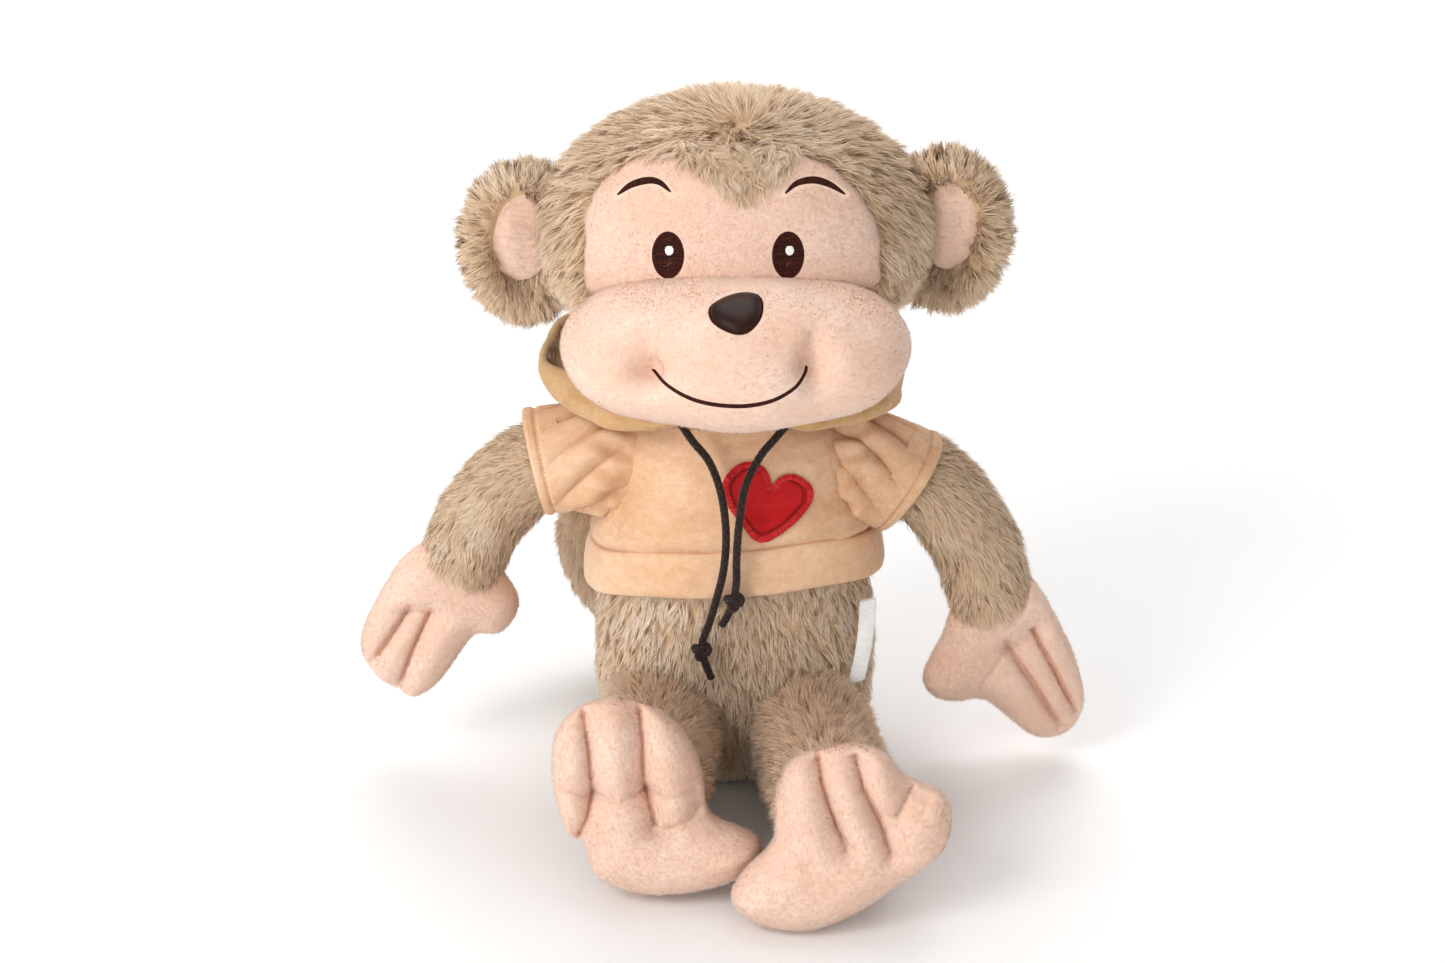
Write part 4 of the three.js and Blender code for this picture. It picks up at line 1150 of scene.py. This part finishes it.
# hood, fallen back round the neck: from the neckline out to a soft fold, up to its rim and down inside
rows, cols = 60, 300
g = np.linspace(0, 1, cols)
ang = np.radians(-104 - 332 * g)
neck_line = top_point(ang, 167.0 + 13.0 * (np.exp(-g / 0.05) + np.exp(-(1 - g) / 0.05)), -0.5)
BOTTOM = [(-20, -46, 177), (-50, -39, 174.5), (-62, -29, 174), (-76, -6, 173), (-68, 34, 166), (-40, 58, 156),
          (0, 66, 152), (40, 58, 156),
          (62, 34, 165), (68.5, -5, 170.5), (58, -26, 173.5), (38, -42, 176.5), (20, -46, 177)]
RIM = [(-15, -42, 182), (-52, -26, 186), (-70, -14, 188), (-84, 4, 189), (-74, 42, 193), (-42, 62, 197),
       (0, 67, 199), (42, 62, 197),
       (68, 42, 191), (66, 2, 182), (56, -18, 183), (38, -34, 184), (15, -42, 182)]
low, rimc = catmull(BOTTOM, g), catmull(RIM, g)
away = unit((rimc + low) / 2 * np.array([1, 1, 0]) + 1e-6)
wall = (low + rimc) / 2 + away * (4.0 + 5.0 * np.clip(low[:, 1:2] / 60, 0, 1))
under = neck_line * 0.35 + low * 0.65 + np.array([0, 0, -1.0])
inside = rimc - away * 7.0 + np.array([0, 0, -7.0])
deep = neck_line * 0.6 + rimc * 0.4 + np.array([0, 0, -2.0])
floor_in = neck_line * 0.92 + np.array([0, 0, 6.0])
prof = np.stack([neck_line, under, low, wall, rimc, inside, deep, floor_in])
# both ends are drawn shut where the cords come out
closing = 0.93 * np.clip(1 - np.minimum(g, 1 - g) / 0.05, 0, 1) ** 1.6
prof = prof + ((low + rimc) / 2 - prof) * closing[None, :, None]
uu = np.linspace(0, 1, rows)
v = np.stack([catmull(prof[:, k], uu) for k in range(cols)], 1).reshape(-1, 3)
out = unit(v - HOOD_MIDDLE)
crumple = 1.5 * noise3(v, 20, 61) + 0.7 * noise3(v, 8,
    62) + 0.8 * np.sin(np.tile(g * 60, rows) + v[:, 2] / 3) * 0.5
v += out * (crumple * np.tile(1 - closing, rows))[:, None]
hood_faces = grid_faces(rows, cols, False)
lined = np.repeat(np.arange(rows - 1), cols - 1) > rows * LINING_FROM
hood = mesh_object("hood_cloth", v, hood_faces, [HOOD_CLOTH, LINING], lined.astype(int))
final(hood, ("SOLIDIFY", {"thickness": 0.0016, "offset": 0.0}))
place(hood, "torso", "velour", "hood")
place(fuzz(hood, "hood_nap", 70000, NAP, HOOD_HAIR, 109, VELOUR_WIDTH, lambda p,
           n: (n * unit(p - HOOD_MIDDLE)).sum(1) > 0.1), "torso", "velour")
inside_faces = hood_faces[lined]
tri = np.vstack([inside_faces[:, [0, 1, 2]], inside_faces[:, [0, 2, 3]]])
rng = np.random.default_rng(66)
pp, nn = sample(v, tri, 1500, rng)
into = unit(np.array([0, 0, 200.0]) - pp)
nn = np.where((nn * into).sum(1, keepdims=True) < 0, -nn, nn)
lining_hair = strands("hood_lining_pile", pp, nn, noise_field(pp, 8, 1) + 0.1, np.full(len(pp), 3.2),
    FUR_PAINTED_SHADE, rng,
                      lift=0.9, per=7, clump=1.8)
place(lining_hair, "torso", "velour")

# heart appliqué and its border
HEART = [(10.5, 132), (3.5, 139.5), (-2.2, 149), (-4, 158), (0.5, 164.8), (6.2, 166.6), (11.6, 163.4),
         (14.8, 155.3), (19, 160), (24.5, 160.8), (30.6, 155.6),
         (29.4, 147.4), (21, 137.6)]
ring = closed_curve(HEART, 160)
mid = np.array([11.5, 150.5])
heart = patch("heart_satin", top_tree, ring, mid, 0.02, 30, lambda x, s: 0.8, [RED])
edge_pts = [tuple(q) for q in ring[::4]] + [tuple(ring[0])]
border = stitch_mesh("heart_border", satin_band(top_tree, edge_pts, lambda t: 2.6, 0.36, 0.3, 1.15), 0.32,
    RED_FLOSS, 9)
# A thin dark red line just inside the border: painted shade at the foot of the raised border.
inner_pts = [tuple(q) for q in (mid + (ring - mid) * 0.86)[::4]]
inner_line = stitch_mesh("heart_inner_painted_shade_line", satin_band(top_tree, inner_pts + inner_pts[:1], lambda t: 0.6,
    0.36, 0.0, 1.0), 0.2, [RED_PAINTED_SHADE], 9)
place(inner_line, "torso", "red_satin")
place(heart, "torso", "red_satin", "heart_patch")
place(border, "torso", "red_satin")

# seam lines of the top: armholes
ARMHOLE = {"left": [(-51.5, 176), (-53, 165), (-57.5, 150), (-61, 141)],
           "right": [(39, 175), (41, 163), (47, 150), (56, 137)]}
for side, pts in ARMHOLE.items():
    q = catmull(pts, np.linspace(0, 1, 60))
    lines = [ln for ln in (run(top_tree, q[k], q[k + 1], 3, 0.15) for k in range(0, 58, 2)) if ln]
    place(stitch_mesh(f"armhole_stitches_{side}", lines, 0.2, [THREAD], 5), "torso", "velour")

# side label: a folded blank ribbon
LABEL_TOP, LABEL_LOW = np.array([54.5, -31, 87.5]), np.array([50, -35, 49.5])
rows, cols = 26, 40
q = np.linspace(0, 1, rows)[:, None, None]
s = np.linspace(0, 1, cols)[None, :, None]
spine = LABEL_TOP + (LABEL_LOW - LABEL_TOP) * s + np.array([1.2, 0, 0]) * np.sin(math.pi * s)
reach = 7.5 * np.sin(q * math.pi) ** 0.7
v = spine + np.array([0.93, -0.10, 0.28]) * reach + np.array([0.2, 0.9,
    0]) * (1.1 * np.cos(q * math.pi) + 0.5 * np.sin(5 * s))
label = mesh_object("side_label_ribbon", v.reshape(-1, 3), grid_faces(rows, cols, False), [RIBBON])
final(label, ("SOLIDIFY", {"thickness": 0.0004, "offset": 0.0}))
place(label, "torso", "ribbon", "side_label")


def groove_stitches(name, pad, grooves, depth_y):
    """Small stitches along the bottoms of a pad's deep grooves; their orange is painted crease shade."""
    tree = surface_of(pad)
    lines = []
    for pts, g, w in grooves:
        if g < 6 or w > 2.1:
            continue
        q = onto_plane(catmull(pts, np.linspace(0.02, 0.97, 26)), depth_y, FRONT_Y)[:, [0, 2]]
        lines += [ln for ln in (run(tree, a, b, 4, 0.02) for a, b in zip(q[:-1], q[1:])) if ln]
    return stitch_mesh(name, lines, 0.2, [GROOVE_PAINTED_SHADE], 14)


def groove_painted_shade_nap(name, pad, stitches):
    """Warmer orange short pile down both walls of the seams: painted crease shade."""
    near = arrays(stitches)[0][::11]

    def keep(p, n):
        far = np.concatenate([((q[:, None] - near[None]) ** 2).sum(-1).min(1) for q in np.array_split(p, 40)])
        return far < 2.6
    return fuzz(pad, name, 90000, NAP_PEACH, SEAM_PAINTED_SHADE_HAIR, 110, 0.4, keep)


# ---------------------------------------------------------------- hands
HAND = {"left": ([(-140.1, 105.8), (-132.9, 109.2), (-122.8, 109.7), (-114.2, 105.8), (-105.6, 98.9),
    (-100.1, 90.1), (-96.3, 82.6), (-96.1, 76.2),
                  (-99.8, 69.2), (-104.3, 65.2), (-109.7, 64.7), (-114.5, 64.5), (-118.7, 60.2), (-124.8,
                      51.2), (-131.8, 41), (-138.8, 34.9),
                  (-144.7, 32.9), (-149.9, 36), (-156.5, 40), (-162.8, 47.6), (-166.2, 56.2), (-165.2,
                      65.2), (-160.7, 76.2), (-154.5, 87.6),
                  (-147.4, 98.9)], (-130, 78),
                 [([(-144, 78), (-152.4, 64.9), (-160, 53)], 6.5, 1.8),
                  ([(-134.5, 77), (-142.9, 58.9), (-149.8, 40)], 6.5, 1.8),
                  ([(-158, 80), (-146, 77), (-134, 76.5)], 2.0, 2.2), ([(-117, 68), (-113, 73)], 1.6, 3.0)]),
        "right": ([(100.9, 80.2), (110.5, 84.1), (121.4, 87.1), (130.6, 89.6), (134.5, 86), (138.6, 79.2),
                   (144.3, 67.7), (150.2, 55.2),
                   (155.2, 39), (156.3, 27.3), (153.1, 18.6), (147.5, 13.5), (138.5, 12.4), (130.7,
                       15.5), (121.4, 23.7), (113.2, 30.6),
                   (107.7, 31.9), (100.1, 30.9), (91.1, 32.4), (85.1, 37.5), (84.5, 44.1), (87.9,
                       52.7), (92.5, 62.7), (95.3, 72.7)], (120, 55),
                  [([(120, 60.5), (133.5, 39.8), (145.6, 19)], 6.5, 1.8),
                   ([(131.5, 68), (142.1, 47.4), (152, 27)], 6.5, 1.8),
                   ([(134, 70), (127, 62), (119, 57), (111, 46), (107, 36)], 2.0, 2.4)])}


def hand_frame(q):
    return onto_plane(q, -15, -13.5), np.array([0, -1.0, 0])


for side, (outline, middle, grooves) in HAND.items():
    hand = pillow(f"hand_pile_{side}", outline, middle, hand_frame, 12.0, 12.0, 14.0, grooves, [MINKY],
                  swell=0.15)
    place(hand, f"{side}_arm", "minky", f"hand_{side}")
    place(fuzz(hand, f"hand_nap_{side}", 36000, NAP_PEACH, MINKY_HAIR, 104), f"{side}_arm", "minky")
    seams = groove_stitches(f"finger_stitches_{side}", hand, grooves, -15)
    place(seams, f"{side}_arm", "minky")
    place(groove_painted_shade_nap(f"finger_seam_painted_shade_nap_{side}", hand, seams), f"{side}_arm", "minky")

# ---------------------------------------------------------------- legs and feet
FOOT = {"left": ([(-70.5, 81.2), (-64.2, 86.8), (-52.6, 91), (-41.5, 89.6), (-30.4, 84.5), (-21.8, 75.5),
    (-16.8, 66), (-13.6, 52.7), (-12.2, 40),
                  (-7.5, 33.5), (1.8, 29), (9.4, 24.2), (11.1, 17.8), (6.9, 10), (-2.3, 4.1), (-15,
                      0), (-30.3, -2), (-44.6, -0.2),
                  (-57.2, 5.6), (-61.5, 13), (-63.5, 23), (-69.5, 26), (-73.2, 36), (-75.6, 49), (-76.2,
                      62.2), (-75, 72.5)], (-47, 30), -126,
                 [([(-63.8, 90), (-60.6, 69), (-59.6, 48), (-62, 36), (-66.5, 25)], 9.5, 2.0),
                  ([(-40.5, 92), (-38.5, 74), (-38.3, 54), (-36, 44), (-34, 34)], 9.5, 2.0),
                  ([(-76, 51), (-68, 49), (-61, 46.5)], 3.2, 2.2), ([(-59, 48), (-48, 46.5), (-38.5, 49.5)],
                      4.4, 2.4),
                  ([(-38, 50), (-28, 47.5), (-16, 51)], 3.0, 2.6), ([(-14, 42), (-20, 36), (-29, 33)], 5.0,
                      2.6)]),
        "right": ([(26.1, 76.2), (36.2, 79.6), (48.4, 81.3), (60.7, 77.1), (68.4, 68), (75.3, 63.4),
                   (83.2, 60.2), (87.8, 53.6), (88.5, 45.5),
                   (86.3, 34.5), (78.3, 24.9), (66.5, 15.7), (53.8, 5.5), (41.4, -1.8), (29, -5.7), (16.4,
                       -4.7), (3.9, 0.6), (-1.5, 8),
                   (-0.3, 15.2), (5.1, 23.5), (12.1, 31), (16, 37.9), (16.4, 46.5), (16.2, 55.9), (18.4,
                       66.3), (21.6, 72.4)], (42, 27), -148,
                  [([(32.5, 80), (35, 67), (38.2, 56), (41.5, 46), (45.5, 36.5)], 9.5, 2.0),
                   ([(48.5, 77), (52, 64), (56.6, 53.6), (60.5, 44), (63.5, 34)], 9.0, 2.0),
                   ([(74, 66), (69, 58), (66, 52)], 6.5, 2.2), ([(17, 40), (24, 35), (30, 30)], 2.6,
                       3.2), ([(80, 60), (76, 54)], 1.6, 1.8)])}
LABEL_MIDDLE = np.array([52, -36, 50.0])


def leg_comb(p, n):
    return np.array([0, 0.7, -0.7]) + 0.55 * noise_field(p, 12, 15)


for side, sx in (("left", -1), ("right", 1)):
    outline, middle, fy, grooves = FOOT[side]
    leg = skin_tube(f"leg_skin_{side}", LEG[side], lambda t: 23.5 - 1.0 * t, [FUR_BASE], dome=0.4)

    def leg_keep(p, n, fy=fy):
        return (p[:, 1] > fy + 12) & (np.linalg.norm(p - LABEL_MIDDLE, axis=1) > 11)  # none under the label

    hair = fur_on(leg, f"leg_pile_{side}", 2900, leg_comb, shorter_below(16), FUR_PAINTED_SHADE, 71 if sx < 0 else 72,
                  leg_keep, lift=0.7)
    above_floor(hair)
    place(leg, f"{side}_leg", "long_pile_fur", f"leg_fur_{side}", f"leg_stuffing_{side}")
    place(hair, f"{side}_leg", "long_pile_fur")

    def foot_frame(q, fy=fy):
        base = onto_plane(q, fy, fy - 1.0, 0.18, 42)
        base[:, 2] = np.maximum(base[:, 2], 0.8 + 0.15 * (base[:, 2] - 0.8))
        return base, unit(np.array([0, -1.0, 0.18]))

    foot = pillow(f"foot_pile_{side}", outline, middle, foot_frame, 14.5, 15.0, 18.0, grooves, [MINKY],
                  swell=0.2)
    reshape(foot, lambda p, n: np.stack([p[:, 0], p[:, 1], np.maximum(p[:, 2], 0.5)], -1))
    place(foot, f"{side}_leg", "minky", f"foot_{side}")
    place(fuzz(foot, f"foot_nap_{side}", 60000, NAP_PEACH, MINKY_HAIR, 105, keep=lambda p, n: p[:, 2] > 1.5),
          f"{side}_leg", "minky")
    seams = groove_stitches(f"toe_stitches_{side}", foot, grooves, fy)
    place(seams, f"{side}_leg", "minky")
    place(groove_painted_shade_nap(f"toe_seam_painted_shade_nap_{side}", foot, seams), f"{side}_leg", "minky")

# ---------------------------------------------------------------- tail
tail = skin_tube("tail_skin", TAIL, lambda t: 9.5 - 1.0 * t, [FUR_BASE])
tail_pile = fur_on(tail, "tail_pile", 3000, follow(TAIL, -1), FUR_LENGTH, FUR_SHADES, 81, lift=0.6)
above_floor(tail_pile)
place(tail, "tail", "long_pile_fur", "tail_fur", "tail_stuffing")
place(tail_pile, "tail", "long_pile_fur")

# ---------------------------------------------------------------- drawstrings
CORD_D = 3.4
ROUTE = {"left": [[-25, -40.5, 180], [-18.5, -46.5, 172], [-11, -49.5, 163], [-6, -54, 150], [-4, -58.5, 134],
    [-5, -60.6, 118], [-8, -60.5, 104],
                  [-11, -58.8, 92], [-14, -58.2, 82.5]],
         "right": [[25, -40.5, 180.5], [17, -46.5, 173], [10, -49.5, 165], [4, -54, 153], [1.5, -59.3, 138],
                   [0.5, -61.6, 124], [0.5, -61.8, 114],
                   [0, -61.4, 108]]}
KNOT = {"left": (-14.6, -58.6, 77.6), "right": (-0.6, -61.6, 103)}
TAIL_END = {"left": [[-13.2, -58.6, 72.6], [-10.4, -58.8, 64.5]],
            "right": [[-2.4, -61.6, 98.2], [-5.6, -61, 91.5]]}


def along_path(points, count):
    """Even points of a cord's route, two directions across it at each, and its length."""
    c, length = even_points(catmull(points, np.linspace(0, 1, 400)), count)
    tan = unit(np.gradient(c, axis=0))
    side = unit(np.cross(np.array([0, -1.0, 0.01]), tan))
    return c, side, np.cross(tan, side), length


def braid(name, points, radius, carriers=8, pitch=7.0):
    """A round braid: yarns that wind both ways and pass over and under each other."""
    count = max(int(along_path(points, 50)[3] / 0.55), 8)
    c, side, up, length = along_path(points, count)
    s = np.linspace(0, length, count)
    yarn = radius * 0.36
    rods = []
    for k in range(carriers):
        for way in (-1, 1):
            a = TAU * k / carriers + way * TAU * s / pitch / 1.6
            weave = np.cos(carriers * (a * way) + (0 if way > 0 else math.pi)) * yarn * 0.30
            o = side * np.cos(a)[:, None] + up * np.sin(a)[:, None]
            p = c + o * (radius - yarn * 0.75 + weave)[:, None]
            tg = unit(np.gradient(p, axis=0))
            b1 = unit(np.cross(tg, o))
            rods.append((rings_round(p, b1, np.cross(tg, b1), yarn, 6, 1.15, 0.7), (k + (way > 0)) % 3))
    rods.append((rings_round(c, side, up, radius * 0.62, 10), 0))
    return rod_mesh(name, rods, CORD), length


for side in ("left", "right"):
    pts = ROUTE[side] + [list(KNOT[side])]
    cord, length = braid(f"drawstring_braid_{side}", pts, CORD_D / 2)
    t = np.linspace(0, TAU * 0.96, 60)
    kx = (np.sin(t) + 2 * np.sin(2 * t)) * 1.15
    kz = (np.cos(t) - 2 * np.cos(2 * t)) * 1.15
    ky = -np.sin(3 * t) * 1.25
    kp = np.stack([kx, ky, kz], -1) + np.array(KNOT[side])
    knot, _ = braid(f"drawstring_knot_braid_{side}", kp[::3].tolist(), CORD_D / 2 * 0.92)
    stub, _ = braid(f"drawstring_end_braid_{side}", [list(KNOT[side])] + TAIL_END[side], CORD_D / 2)
    for ob in (cord, knot, stub):
        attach(ob, "torso")
    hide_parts(f"drawstring_{side}")
    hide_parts(f"drawstring_knot_{side}")
    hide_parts(f"drawstring_end_{side}")
    q = catmull(pts, np.linspace(0, 1, 30)) * MM

# ---------------------------------------------------------------- floor
me = bpy.data.meshes.new("floor")
me.from_pydata([(-3, -3, -0.0005), (3, -3, -0.0005), (3, 3, -0.0005), (-3, 3, -0.0005)], [], [(0, 1, 2, 3)])
floor = bpy.data.objects.new("floor", me)
bpy.context.collection.objects.link(floor)
fm, _, fp = principled("floor_white")
fp.inputs["Base Color"].default_value = (1, 1, 1, 1)
fp.inputs["Roughness"].default_value = 0.9
me.materials.append(fm)
